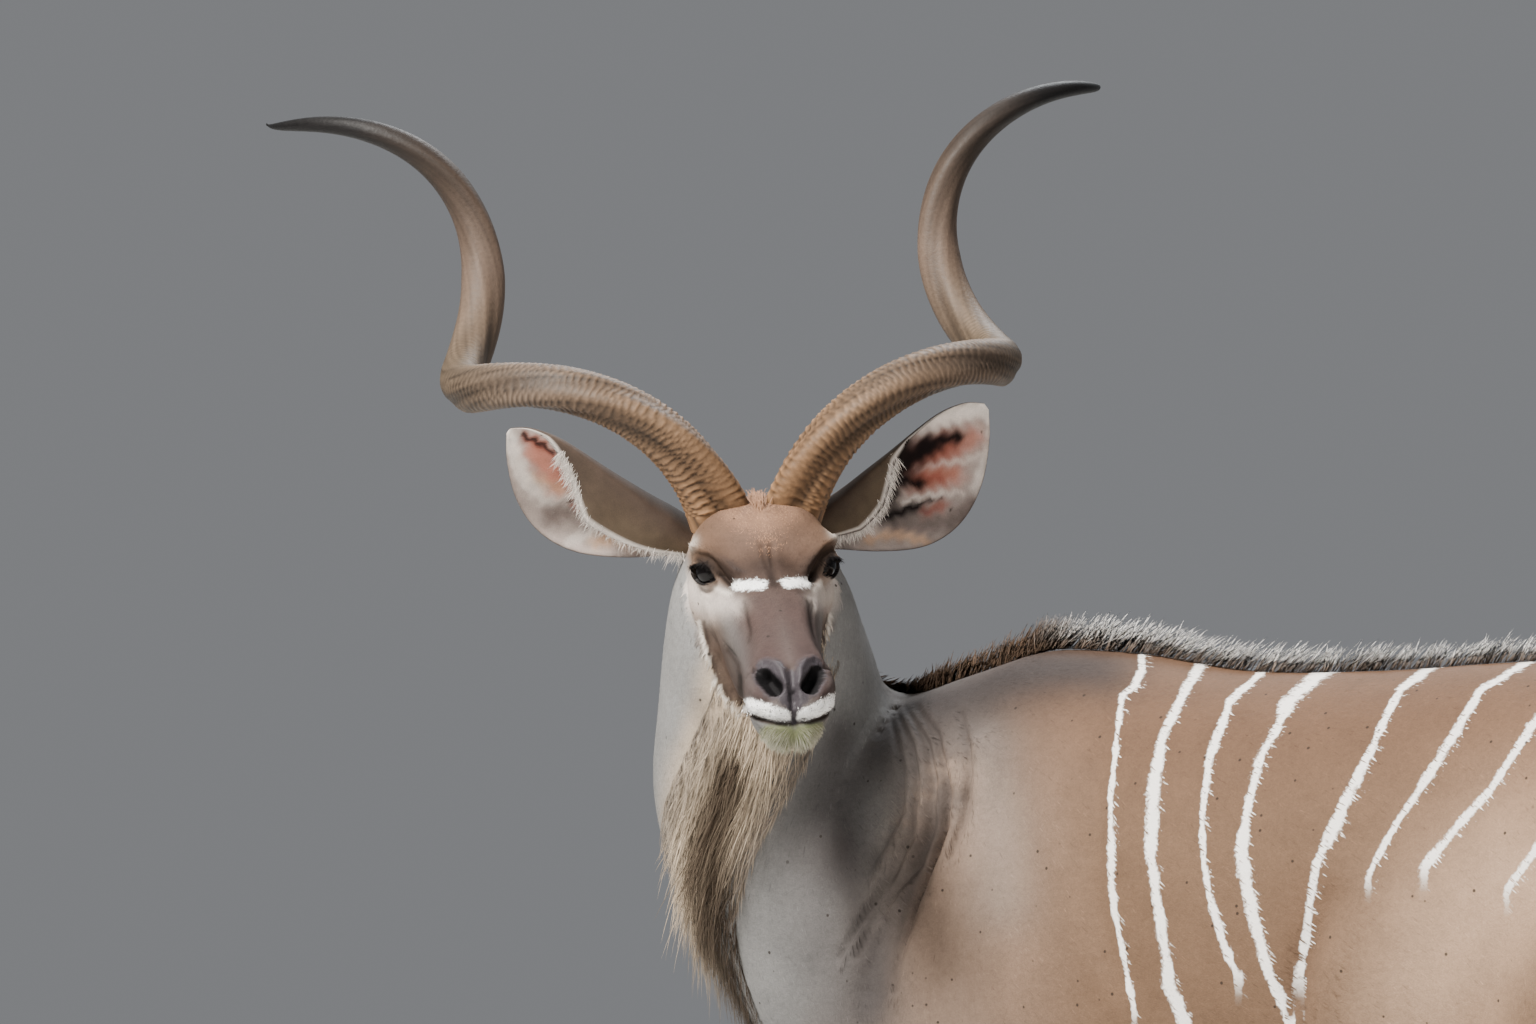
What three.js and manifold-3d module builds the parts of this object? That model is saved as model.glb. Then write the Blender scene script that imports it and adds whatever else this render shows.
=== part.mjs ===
// Greater kudu bull, life size, standing and looking back over its left shoulder.
// Millimetres, +Z up, the body along X and facing -X, the floor at Z = 0.
import * as THREE from 'three';
import { mergeVertices } from 'three/addons/utils/BufferGeometryUtils.js';
import Module from 'manifold-3d';

const wasm = await Module();
wasm.setup();

// Driving dimensions
const fit = 0.3; // gap between pieces that meet
const hornLength = 763; // straight, along the axis of the spiral
const hornTurns = 1.613;
const eyeRadius = 19;
const earLength = 235;
const foreCut = 735; // height of the parting of a foreleg from the torso
const hindCut = 800;
const footTop = 62; // height of the top edge of a hoof
const foreStride = { left: -30, right: 40 }; // how far each foot is set along X
const hindStride = { left: 55, right: -50 };

// The head hangs on the poll: turned from straight ahead, pitched down and tilted a little
const poll = [-300, -190, 1557];
const headTurn = 132;
const headPitch = 26;
const headTilt = 2.8;

const rad = THREE.MathUtils.degToRad;

// Points along a list of stations, each number on its own smooth curve
function tween(stations, t) {
  const last = stations.length - 1;
  const spot = THREE.MathUtils.clamp(t, 0, 1) * last;
  const from = Math.min(Math.floor(spot), last - 1);
  const part = spot - from;
  const row = (index) => stations[THREE.MathUtils.clamp(index, 0, last)];
  return row(from).map((value, column) => {
    const [before, after, next] = [row(from - 1)[column], row(from + 1)[column], row(from + 2)[column]];
    const start = (after - before) / 2;
    const end = (next - value) / 2;
    const [p2, p3] = [part * part, part * part * part];
    return (2 * p3 - 3 * p2 + 1) * value + (p3 - 2 * p2 + part) * start
      + (3 * p2 - 2 * p3) * after + (p3 - p2) * end;
  });
}

// A closed skin of rings: place(t, angle) gives the surface, middle(t) the centre of an end
function wrap(rings, sides, place, middle) {
  const shell = new THREE.SphereGeometry(1, sides, rings + 1);
  const spots = shell.attributes.position;
  for (let row = 0; row <= rings + 1; row += 1) {
    const t = THREE.MathUtils.clamp((row - 1) / (rings - 1), 0, 1);
    const end = row === 0 || row === rings + 1;
    for (let column = 0; column <= sides; column += 1) {
      const angle = ((column % sides) / sides) * Math.PI * 2;
      spots.setXYZ(row * (sides + 1) + column, ...(end ? middle(t) : place(t, angle)));
    }
  }
  return solid(shell);
}

// A manifold solid from a closed geometry
function solid(geometry) {
  const bare = geometry.clone();
  bare.deleteAttribute('normal');
  bare.deleteAttribute('uv');
  const merged = mergeVertices(bare, 1e-4);
  const faces = merged.index.array;
  const kept = [];
  for (let i = 0; i < faces.length; i += 3) {
    const [a, b, c] = [faces[i], faces[i + 1], faces[i + 2]];
    if (a !== b && b !== c && a !== c) kept.push(a, b, c);
  }
  return new wasm.Manifold(new wasm.Mesh({
    numProp: 3,
    vertProperties: merged.attributes.position.array,
    triVerts: new Uint32Array(kept),
  }));
}

const join = (pieces) => pieces.reduce((all, piece) => all.add(piece));
const cut = (whole, pieces) => pieces.reduce((all, piece) => all.subtract(piece), whole);

// The largest closed body of a solid
function largest(whole) {
  const bodies = whole.decompose();
  return bodies.reduce((best, body) => (body.volume() > best.volume() ? body : best));
}

// A rounded section: from the top round by the left side, with its own height above and below
function section(angle, rise, drop, half, fullness) {
  const up = Math.cos(angle);
  const side = Math.sin(angle);
  const swell = (value) => Math.sign(value) * Math.abs(value) ** fullness;
  return [swell(up) * (up > 0 ? rise : drop), swell(side) * half];
}

// Torso and neck in one: centre x, y, z; left turn; slope of the belly side; rise, drop, half
const bodyStations = [
  [1018, 0, 1165, 0, 90, 50, 105, 55],
  [975, 0, 1150, 0, 90, 115, 200, 130],
  [880, 0, 1130, 0, 90, 208, 240, 182],
  [750, 0, 1120, 0, 90, 262, 265, 200],
  [590, 0, 1105, 0, 90, 288, 272, 206],
  [410, 0, 1080, 0, 90, 301, 305, 222],
  [230, 0, 1062, 0, 90, 314, 314, 228],
  [90, 0, 1070, 0, 90, 322, 318, 212],
  [-35, 0, 1080, 0, 86, 317, 300, 192],
  [-150, -5, 1086, 2, 75, 309, 290, 184],
  [-245, -20, 1120, 10, 69, 256, 240, 172],
  [-305, -45, 1175, 27, 58, 200, 190, 155],
  [-328, -80, 1227, 55, 45, 165, 162, 143],
  [-332, -110, 1285, 85, 33, 148, 148, 131],
  [-318, -135, 1345, 104, 26, 142, 140, 121],
  [-305, -160, 1405, 118, 20, 132, 122, 112],
  [-296, -178, 1462, 127, 14, 114, 96, 98],
  [-294, -186, 1510, 131, 8, 86, 70, 74],
];

function bodyFrame(t) {
  const [x, y, z, turn, slope, rise, drop, half] = tween(bodyStations, t);
  const level = Math.cos(rad(slope));
  const under = new THREE.Vector3(
    -Math.cos(rad(turn)) * level, -Math.sin(rad(turn)) * level, -Math.sin(rad(slope)));
  const left = new THREE.Vector3(Math.sin(rad(turn)), -Math.cos(rad(turn)), 0);
  return { centre: new THREE.Vector3(x, y, z), under, left, rise, drop, half };
}

function bodySpot(t, angle, grow = 0) {
  const { centre, under, left, rise, drop, half } = bodyFrame(t);
  const [up, side] = section(angle, rise + grow, drop + grow, half + grow, 0.94);
  return centre.clone().addScaledVector(under, -up).addScaledVector(left, side);
}

// A leg as level sections: height, x, y, half length, half width
const foreStations = [
  [1345, 15, 50, 60, 50],
  [1250, -25, 102, 116, 66],
  [1130, -80, 124, 148, 75],
  [1010, -100, 134, 152, 74],
  [910, -62, 144, 128, 66],
  [825, -20, 148, 92, 55],
  [740, -12, 148, 63, 46],
  [640, -14, 146, 47, 38],
  [540, -22, 143, 37, 31],
  [450, -28, 141, 38, 33],
  [390, -28, 140, 28, 26],
  [300, -25, 139, 25, 21],
  [210, -25, 138, 25, 21],
  [155, -28, 138, 32, 27],
  [108, -43, 138, 26, 24],
  [75, -56, 138, 33, 30],
  [50, -62, 138, 37, 32],
];

const hindStations = [
  [1310, 770, 66, 120, 55],
  [1210, 805, 104, 185, 88],
  [1090, 802, 124, 205, 99],
  [970, 778, 134, 192, 92],
  [880, 757, 139, 154, 80],
  [795, 785, 140, 113, 65],
  [705, 842, 137, 77, 50],
  [615, 905, 133, 53, 36],
  [550, 945, 131, 52, 33],
  [485, 953, 130, 41, 30],
  [410, 946, 130, 30, 24],
  [310, 939, 130, 27, 22],
  [215, 933, 130, 27, 22],
  [160, 929, 130, 34, 28],
  [110, 909, 130, 27, 25],
  [75, 896, 130, 34, 31],
  [50, 890, 130, 38, 33],
];

const legRings = 22;
const legSides = 10;

// A foot is set forward or back below the body, and the leg leans with it
const leanTop = 950;
const lean = (z, stride) => stride * Math.max(0, 1 - z / leanTop);

function makeLeg(stations, side, stride) {
  const spot = (t, angle) => {
    const [z, x, y, long, wide] = tween(stations, t);
    return [x + lean(z, stride) - Math.cos(angle) * long, side * y - Math.sin(angle) * wide, z];
  };
  const middle = (t) => {
    const [z, x, y] = tween(stations, t);
    return [x + lean(z, stride), side * y, z];
  };
  return wrap(legRings, legSides, spot, middle);
}

// Dewclaws behind the pastern
function makeDewclaws(stations, side, stride) {
  const [, x, y, long] = stations.at(-4);
  return [-1, 1].map((half) => solid(new THREE.SphereGeometry(1, 8, 5)
    .scale(11, 9, 17)
    .rotateY(rad(-25))
    .translate(x + lean(118, stride) + long - 4, side * y + half * 14, 122)));
}

// One claw of a hoof, in level sections from the top down: height, shift, half length, half width
const clawStations = [
  [footTop - fit, 9, 28, 15],
  [45, 5, 33, 15.5],
  [22, -2, 40, 16],
  [0, -8, 46, 16],
];
const clawSpread = 16.5; // from the middle of the foot to the middle of a claw

function makeHoof(stations, side, stride) {
  const [, footX, y] = stations.at(-1);
  const x = footX + lean(footTop / 2, stride);
  const claws = [-1, 1].map((half) => {
    const centre = (t) => {
      const [z, shift] = tween(clawStations, t);
      return [x + shift, side * y + half * clawSpread, z];
    };
    const spot = (t, angle) => {
      const [z, shift, long, wide] = tween(clawStations, t);
      const fore = Math.cos(angle);
      const point = fore > 0 ? 1 - 0.35 * fore ** 2 : 1;
      return [x + shift - fore * long,
        side * y + half * (clawSpread - 3 * fore) - Math.sin(angle) * wide * point, z];
    };
    return wrap(4, 10, spot, centre);
  });
  const web = solid(new THREE.BoxGeometry(34, 12, 45).translate(x + 16, side * y, footTop - fit - 22.5));
  return join([...claws, web]);
}

// The head's own axes: forward along the face, left, and up off the face
const headMatrix = new THREE.Matrix4()
  .makeRotationZ(rad(180 + headTurn))
  .multiply(new THREE.Matrix4().makeRotationX(rad(headTilt)))
  .multiply(new THREE.Matrix4().makeRotationY(rad(headPitch)))
  .setPosition(...poll);
const onHead = (x, y, z) => new THREE.Vector3(x, y, z).applyMatrix4(headMatrix);

// Head sections: x along the face, level of the widest place, rise, drop, half
const headStations = [
  [-38, -72, 26, 34, 34],
  [-18, -66, 58, 76, 62],
  [20, -55, 66, 116, 72],
  [65, -42, 60, 153, 79],
  [102, -36, 51, 160, 80],
  [134, -37, 46, 148, 70],
  [168, -44, 48, 134, 61],
  [215, -55, 56, 109, 53],
  [275, -59, 57, 90, 46],
  [330, -57, 52, 71, 46],
  [372, -55, 46, 57, 47],
  [399, -57, 31, 44, 38],
  [412, -60, 16, 26, 21],
];

const jawTaper = 0.16; // how much narrower the head is below than across its middle

// The muzzle swings to the animal's right by this much at the nose
const muzzleSwing = 8;
const swing = (x) => -muzzleSwing * THREE.MathUtils.clamp((x - 100) / 300, 0, 1);

function headSpot(t, angle, grow = 0) {
  const [x, level, rise, drop, half] = tween(headStations, t);
  const [up, side] = section(angle, rise + grow, drop + grow, half + grow, 0.88);
  const jaw = 1 - jawTaper * Math.max(0, -Math.cos(angle));
  return onHead(x, side * jaw + swing(x), level + up);
}

const skullRings = 24;
const skullSides = 18;

function headMiddle(t) {
  const [x, level] = tween(headStations, t);
  return onHead(x, swing(x), level);
}

// An ellipsoid on the head, turned about the head's side axis and then its up axis
function headBall(size, at, pitch = 0, yaw = 0) {
  return solid(new THREE.SphereGeometry(1, 12, 8)
    .scale(...size)
    .rotateY(rad(pitch))
    .rotateZ(rad(yaw))
    .translate(...at)
    .applyMatrix4(headMatrix));
}

// The middle of the left eye on the head's own axes, and how far it looks outward
const eyeSpot = [121, 57, -25];
const eyeYaw = 52;

function makeEye(side, grow = 0) {
  const [x, y, z] = eyeSpot;
  return solid(new THREE.SphereGeometry(eyeRadius + grow, 12, 8)
    .translate(x, side * y, z)
    .applyMatrix4(headMatrix));
}

// Upper and lower lid as one almond ring round the eye
function makeLids(side) {
  const [x, y, z] = eyeSpot;
  return solid(new THREE.TorusGeometry(17, 6, 5, 12)
    .scale(1, 0.82, 0.9)
    .rotateX(Math.PI / 2)
    .rotateZ(Math.PI / 2)
    .translate(eyeRadius * 0.55, 0, 1)
    .rotateZ(rad(side * eyeYaw))
    .translate(x, side * y, z)
    .applyMatrix4(headMatrix));
}

// The line of the mouth: a thin plate round the muzzle, less its own inside
const muzzleStart = 0.6; // share of the head's length where the line begins
function makeMouthLine() {
  const plate = new THREE.BoxGeometry(125, 120, 2)
    .rotateY(rad(-8))
    .translate(352, -muzzleSwing, -65)
    .applyMatrix4(headMatrix);
  const along = (t) => muzzleStart + (0.99 - muzzleStart) * t;
  const inside = wrap(8, 12, (t, angle) => headSpot(along(t), angle, -5), (t) => headMiddle(along(t)));
  return solid(plate).subtract(inside);
}

// A horn: a helix round a straight axis that leans back and out from the brow
const horn = {
  root: [32, 44.8, 8.4],
  lean: 16,
  splay: 21.3,
  startRadius: 103.4,
  endRadius: 61,
  closing: 0.085,
  startAngle: 166,
  thick: 32,
  stem: 23,
  flare: 0.12,
  tip: 0.42,
  sunk: 0.015,
  keelAngle: 65,
  keel: 0.2,
};

// The middle line of the left horn at s, from 0 at the brow to 1 at the tip
function hornSpine(s) {
  const splay = rad(horn.splay);
  const lean = rad(horn.lean);
  const axis = new THREE.Vector3(
    -Math.cos(lean) * Math.cos(splay), Math.sin(splay), Math.sin(lean) * Math.cos(splay));
  const across = new THREE.Vector3(0, 1, 0).addScaledVector(axis, -axis.y).normalize();
  const over = axis.clone().cross(across);
  const start = rad(horn.startAngle);
  const angle = start + hornTurns * Math.PI * 2 * s;
  const closed = (1 - Math.exp(-s / horn.closing)) / (1 - Math.exp(-1 / horn.closing));
  const radius = horn.startRadius + (horn.endRadius - horn.startRadius) * closed;
  const out = across.clone().multiplyScalar(Math.cos(angle)).addScaledVector(over, Math.sin(angle));
  const at = new THREE.Vector3(...horn.root)
    .addScaledVector(axis, hornLength * s)
    .addScaledVector(out, radius)
    .addScaledVector(across, -horn.startRadius * Math.cos(start))
    .addScaledVector(over, -horn.startRadius * Math.sin(start));
  return { at, out };
}

// Half thickness at s: a flared base, an even middle and a long drawn tip
function hornThickness(s) {
  const stem = horn.stem + (horn.thick - horn.stem) * Math.exp(-s / horn.flare);
  const tip = Math.min(1, ((1 - s) / horn.tip) ** 0.8);
  return Math.max(stem * tip, 1.5);
}

const hornRings = 45;

function makeHorn(side, grow = 0) {
  const along = (t) => (1 + horn.sunk) * t - horn.sunk;
  const spot = (t, angle) => {
    const s = along(t);
    const { at, out } = hornSpine(s);
    const run = hornSpine(s + 0.004).at.sub(hornSpine(s - 0.004).at).normalize();
    const away = out.addScaledVector(run, -out.dot(run)).normalize();
    const beside = run.clone().cross(away);
    const turn = -side * angle;
    const fromKeel = THREE.MathUtils.euclideanModulo(turn - rad(horn.keelAngle) + Math.PI, Math.PI * 2);
    const keel = horn.keel * (1 - s) * Math.exp(-(((fromKeel - Math.PI) / 0.5) ** 2));
    const thick = hornThickness(Math.max(s, 0)) * (1 + keel) + grow;
    at.addScaledVector(away, Math.cos(turn) * thick).addScaledVector(beside, Math.sin(turn) * thick);
    return onHead(at.x, side * at.y, at.z);
  };
  const middle = (t) => {
    const { at } = hornSpine(along(t));
    return onHead(at.x, side * at.y, at.z);
  };
  return wrap(hornRings, 8, spot, middle);
}

// An ear: a curled leaf with a hollow towards the front. Share along, half width, depth of the cup
const earStations = [
  [-0.09, 18, 26],
  [0.04, 24, 36],
  [0.2, 42, 44],
  [0.4, 60, 40],
  [0.6, 63, 33],
  [0.78, 52, 24],
  [0.92, 29, 12],
  [1, 5, 3],
];
const earRoot = [0, 64, -48];
const earAim = { back: 10, up: 32 }; // degrees, from straight out to the side
const earTwist = { left: 0, right: 18 };
const earWall = 4;

function makeEar(side, twist, grow = 0) {
  const aim = new THREE.Matrix4().makeRotationZ(rad(earAim.back))
    .multiply(new THREE.Matrix4().makeRotationX(rad(earAim.up)))
    .multiply(new THREE.Matrix4().makeRotationY(rad(twist)));
  const onEar = (x, y, z) => {
    const spot = new THREE.Vector3(x, y, z).applyMatrix4(aim);
    return onHead(earRoot[0] + spot.x, side * (earRoot[1] + spot.y), earRoot[2] + spot.z);
  };
  const sag = (share) => -34 * Math.sin(Math.PI * Math.max(share, 0)) ** 1.2;
  const spot = (t, angle) => {
    const [share, half, depth] = tween(earStations, t);
    const turn = side * angle;
    const outer = Math.sin(turn) >= -1e-9;
    const wall = Math.min(earWall, half * 0.8);
    const hollow = share > 0.08 ? Math.min(1, (share - 0.08) / 0.1) : 0;
    const across = Math.cos(turn);
    const bow = Math.sqrt(Math.max(0, 1 - across * across));
    const skin = outer ? half + grow : half + grow - wall * bow;
    const deep = outer ? -bow * (depth + grow) : -bow * (depth - wall) * hollow + bow * 14 * (1 - hollow);
    return onEar(deep + 0.35 * depth, earLength * share, sag(share) + across * skin);
  };
  const middle = (t) => {
    const [share, , depth] = tween(earStations, t);
    return onEar(t < 0.5 ? 0 : 0.35 * depth - depth * 0.5, earLength * share, sag(share));
  };
  return wrap(13, 14, spot, middle);
}

// Locks of long hair: flat blades that taper, bend and overlap along their lie
let seed = 7;
function chance(spread) {
  seed = (seed * 16807) % 2147483647;
  return spread * (2 * (seed / 2147483647) - 1);
}

const lockSunk = 14; // how deep a root lies in what it grows from
const lockTaper = [[0.8], [1], [0.72], [0.14]];

// One lock from its root by way of a knee to its tip; flat lies off the surface
function makeLock(root, knee, tip, flat, width, thick) {
  const path = new THREE.QuadraticBezierCurve3(root, knee, tip);
  const frame = (t) => {
    const run = path.getTangent(t);
    const across = run.clone().cross(flat).normalize();
    return { at: path.getPoint(t), across, over: across.clone().cross(run) };
  };
  const spot = (t, angle) => {
    const { at, across, over } = frame(t);
    const [size] = tween(lockTaper, t);
    return at.addScaledVector(across, -Math.sin(angle) * width * size)
      .addScaledVector(over, Math.cos(angle) * thick * size);
  };
  return wrap(4, 3, spot, (t) => path.getPoint(t));
}

// A lock on a surface: out is off the surface, lie the way the hair runs
function growLock(at, out, lie, { length, width, thick, lift, flat = out }) {
  const rise = rad(lift);
  const reach = length * (1 + chance(0.15));
  const root = at.clone().addScaledVector(out, -lockSunk);
  const knee = at.clone().addScaledVector(out, 0.5 * reach * Math.sin(rise) + 4)
    .addScaledVector(lie, 0.3 * reach);
  const tip = at.clone().addScaledVector(out, reach * Math.sin(rise) * (0.85 + chance(0.15)))
    .addScaledVector(lie, reach * Math.cos(rise));
  return makeLock(root, knee, tip, flat, (width / 2) * (1 + chance(0.12)), thick);
}

// Where the hair of the torso and neck grows: surface, way out and way back towards the rump
function bodyHair(t, angle) {
  const at = bodySpot(t, angle);
  const out = at.clone().sub(bodyFrame(t).centre).normalize();
  const lie = bodySpot(t - 0.02, angle).sub(at).normalize();
  return { at, out, lie };
}

// The mane of the nape and the crest of the back, from the poll to the croup
const maneLengths = [[24], [40], [46], [50], [62], [74], [70], [40]];
function maneLocks(from, to, count) {
  return Array.from({ length: count }, (_, index) => {
    const t = from + ((to - from) * (index + 0.5)) / count;
    const angle = (index % 2 ? 1 : -1) * 0.035 + chance(0.02);
    const { at, out, lie } = bodyHair(t, angle);
    const { left } = bodyFrame(t);
    lie.addScaledVector(left, angle * 3 + chance(0.12)).normalize();
    const flat = left.addScaledVector(out, 4 * angle).normalize();
    return growLock(at, out, lie, { length: tween(maneLengths, t)[0], width: 50, thick: 7, lift: 38, flat });
  });
}

// The mane of the throat: rows of long locks that hang from the line of the throat
const throatRows = [-0.34, 0, 0.34];
function throatLocks(from, to, count) {
  return throatRows.flatMap((offset) => Array.from({ length: count }, (_, index) => {
    const t = from + ((to - from) * (index + 0.5 + offset)) / count;
    const { at, out, lie } = bodyHair(t, Math.PI + offset + chance(0.05));
    const hang = lie.addScaledVector(new THREE.Vector3(0, 0, -1), 1.2).normalize();
    const length = 125 * Math.sin(Math.PI * (0.12 + 0.8 * ((t - 0.55) / 0.45)));
    const flat = offset === 0 ? bodyFrame(t).left : out;
    return growLock(at, out, hang, { length, width: 50, thick: 9, lift: 20, flat });
  }));
}

// The tuft on the chin and the whorl of the brow, on the head's own axes
const chinTuft = { count: 6, at: [372, -muzzleSwing, -104], spread: 15, length: 24 };
const browTuft = { count: 6, at: [44, 0, 8], spread: 13, length: 30 };

function headLocks({ count, at, spread, length }, out, lie) {
  return Array.from({ length: count }, (_, index) => {
    const turn = (index / count) * Math.PI * 2;
    const root = onHead(at[0] + Math.cos(turn) * spread, at[1] + Math.sin(turn) * spread, at[2]);
    const way = lie.clone().addScaledVector(intoHead(0, 1, 0), Math.sin(turn) * 0.3).normalize();
    return growLock(root, out, way, { length, width: 20, thick: 5, lift: 30 });
  });
}

// The tail hangs down behind: height, x, half length fore and aft, half width of its core
const tailStations = [
  [1262, 985, 20, 24],
  [1235, 1018, 21, 25],
  [1190, 1044, 18, 22],
  [1100, 1062, 13, 17],
  [1000, 1068, 11, 14],
  [900, 1068, 9, 12],
  [850, 1066, 4, 5],
];

function makeTail(grow = 0) {
  const spot = (t, angle) => {
    const [z, x, long, wide] = tween(tailStations, t);
    return [x - Math.cos(angle) * (long + grow), -Math.sin(angle) * (wide + grow), z];
  };
  return wrap(12, 8, spot, (t) => [tween(tailStations, t)[1], 0, tween(tailStations, t)[0]]);
}

function tailLocks(count) {
  return Array.from({ length: count }, (_, index) => {
    const t = 0.36 + (0.58 * (index + 0.5)) / count;
    const turn = index * 2.4 + chance(0.2);
    const [z, x, long, wide] = tween(tailStations, t);
    const out = new THREE.Vector3(Math.cos(turn), Math.sin(turn), 0);
    const at = new THREE.Vector3(x + out.x * long * 0.8, out.y * wide * 0.8, z);
    const root = at.clone().addScaledVector(out, -long * 0.7);
    const length = 95 * (1 + chance(0.2));
    const knee = at.clone().addScaledVector(out, 26).add(new THREE.Vector3(0, 0, -0.35 * length));
    const tip = at.clone().addScaledVector(out, 16).add(new THREE.Vector3(0, 0, -length));
    return makeLock(root, knee, tip, out, 15, 5);
  });
}

// A parting plane through a point, as its unit direction and its distance from the origin
function plane(point, direction) {
  const normal = direction.clone().normalize();
  return { normal: normal.toArray(), reach: normal.dot(point) };
}
const side = (whole, { normal, reach }, way) => whole.trimByPlane(
  normal.map((value) => value * way), reach * way + fit / 2);

const sides = { left: 1, right: -1 };
const legY = { left: -1, right: 1 };

const body = wrap(36, 20, bodySpot, (t) => bodyFrame(t).centre);
const neckPlane = plane(new THREE.Vector3(-300, -20, 1175), new THREE.Vector3(-0.85, -0.12, 0.5));

// The room for a root: the piece grown by the gap, also past its end
const socket = (grown, inward) => grown.add(grown.translate(inward.setLength(2 * fit).toArray()));
const intoHead = (x, y, z) => onHead(x, y, z).sub(onHead(0, 0, 0));

const hornCuts = Object.values(sides).map((way) => socket(makeHorn(way, fit), intoHead(0, 0, -1)));
const earCuts = Object.entries(sides).map(([name, way]) => socket(
  makeEar(way, earTwist[name], fit), intoHead(0, -way, 0)));
const eyeCuts = Object.values(sides).map((way) => makeEye(way, fit));

const pieces = {};
const skull = wrap(skullRings, skullSides, headSpot, headMiddle);
const skullCut = wrap(skullRings, skullSides, (t, angle) => headSpot(t, angle, fit * 2.5), headMiddle);

const brows = Object.values(sides).map((way) => headBall([46, 26, 21], [98, way * 52, -8], 6, way * -8));
const nostrils = Object.values(sides).map((way) => headBall(
  [14, 9, 11], [394, way * 22 - muzzleSwing, -17], 40, way * -38));
const lids = Object.values(sides).map(makeLids);
const faceForms = [skull, ...brows, ...lids];
const headHair = [
  ...headLocks(chinTuft, intoHead(0, 0, -1), intoHead(0.2, 0, -1)),
  ...headLocks(browTuft, intoHead(0, 0, 1), intoHead(0.6, 0, 1)),
];
const headCuts = [...hornCuts, ...earCuts, ...eyeCuts, ...nostrils, makeMouthLine()];
pieces.head = largest(cut(join([...faceForms, ...headHair]), headCuts));
const neckHair = [...maneLocks(0.64, 0.985, 15), ...throatLocks(0.66, 0.985, 12)];
const neck = side(join([body, ...neckHair]), neckPlane, 1);
pieces.neck = largest(cut(neck, [skullCut, ...earCuts, ...hornCuts]));

const level = (height) => plane(new THREE.Vector3(0, 0, height), new THREE.Vector3(0, 0, 1));
const uppers = [];
for (const [name, way] of Object.entries(legY)) {
  for (const [place, stations, cutHeight, stride] of [
    ['fore', foreStations, foreCut, foreStride[name]],
    ['hind', hindStations, hindCut, hindStride[name]],
  ]) {
    const leg = makeLeg(stations, way, stride);
    uppers.push(side(leg, level(cutHeight), 1));
    const lower = join([leg, ...makeDewclaws(stations, way, stride)]);
    pieces[`${place}leg_${name}`] = largest(side(side(lower, level(cutHeight), -1), level(footTop), 1));
    pieces[`hoof_${place}_${name}`] = largest(makeHoof(stations, way, stride));
  }
}
const torsoHair = [...maneLocks(0.1, 0.63, 40), ...throatLocks(0.57, 0.65, 4)];
const torso = join([body, ...uppers, ...torsoHair]);
pieces.torso = largest(cut(side(torso, neckPlane, -1), [socket(makeTail(fit), new THREE.Vector3(0, 0, 1))]));
pieces.tail = largest(join([makeTail(), ...tailLocks(22)]));
for (const [name, way] of Object.entries(sides)) {
  pieces[`horn_${name}`] = makeHorn(way);
  pieces[`ear_${name}`] = makeEar(way, earTwist[name]);
  pieces[`eye_${name}`] = makeEye(way);
}

// Colour, roughness
const coat = [0x8a7360, 0.9];
const finishes = {
  head: [0x6d5d52, 0.9],
  neck: [0x857a70, 0.9],
  torso: coat,
  tail: coat,
  leg: [0xa07a55, 0.9],
  hoof: [0x1d1a18, 0.5],
  horn: [0x6e5746, 0.55],
  ear: [0x8f8078, 0.9],
  eye: [0x0c0908, 0.1],
};

function finish(name) {
  const key = Object.keys(finishes).find((word) => name.includes(word));
  const [color, roughness] = finishes[key];
  return new THREE.MeshStandardMaterial({ color, roughness, metalness: 0 });
}

const kudu = new THREE.Group();
for (const [name, piece] of Object.entries(pieces)) {
  const { vertProperties, triVerts, numProp } = piece.getMesh();
  const geometry = new THREE.BufferGeometry();
  const spots = new THREE.InterleavedBuffer(vertProperties, numProp);
  const points = new Float32Array((vertProperties.length / numProp) * 3);
  for (let i = 0; i < points.length / 3; i += 1) {
    for (let axis = 0; axis < 3; axis += 1) points[i * 3 + axis] = spots.array[i * numProp + axis];
  }
  geometry.setAttribute('position', new THREE.BufferAttribute(points, 3));
  geometry.setIndex(new THREE.BufferAttribute(triVerts, 1));
  geometry.computeVertexNormals();
  const mesh = new THREE.Mesh(geometry, finish(name));
  mesh.name = name;
  kudu.add(mesh);
}

// The origin is on the floor, under the middle of the whole
const box = new THREE.Box3().setFromObject(kudu);
const middle = box.getCenter(new THREE.Vector3());
kudu.position.set(-middle.x, -middle.y, 0);

export default kudu;
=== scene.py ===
import math

import bmesh
import bpy
import numpy as np
from mathutils import Matrix, Vector
from mathutils.bvhtree import BVHTree
from mathutils.kdtree import KDTree


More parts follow.
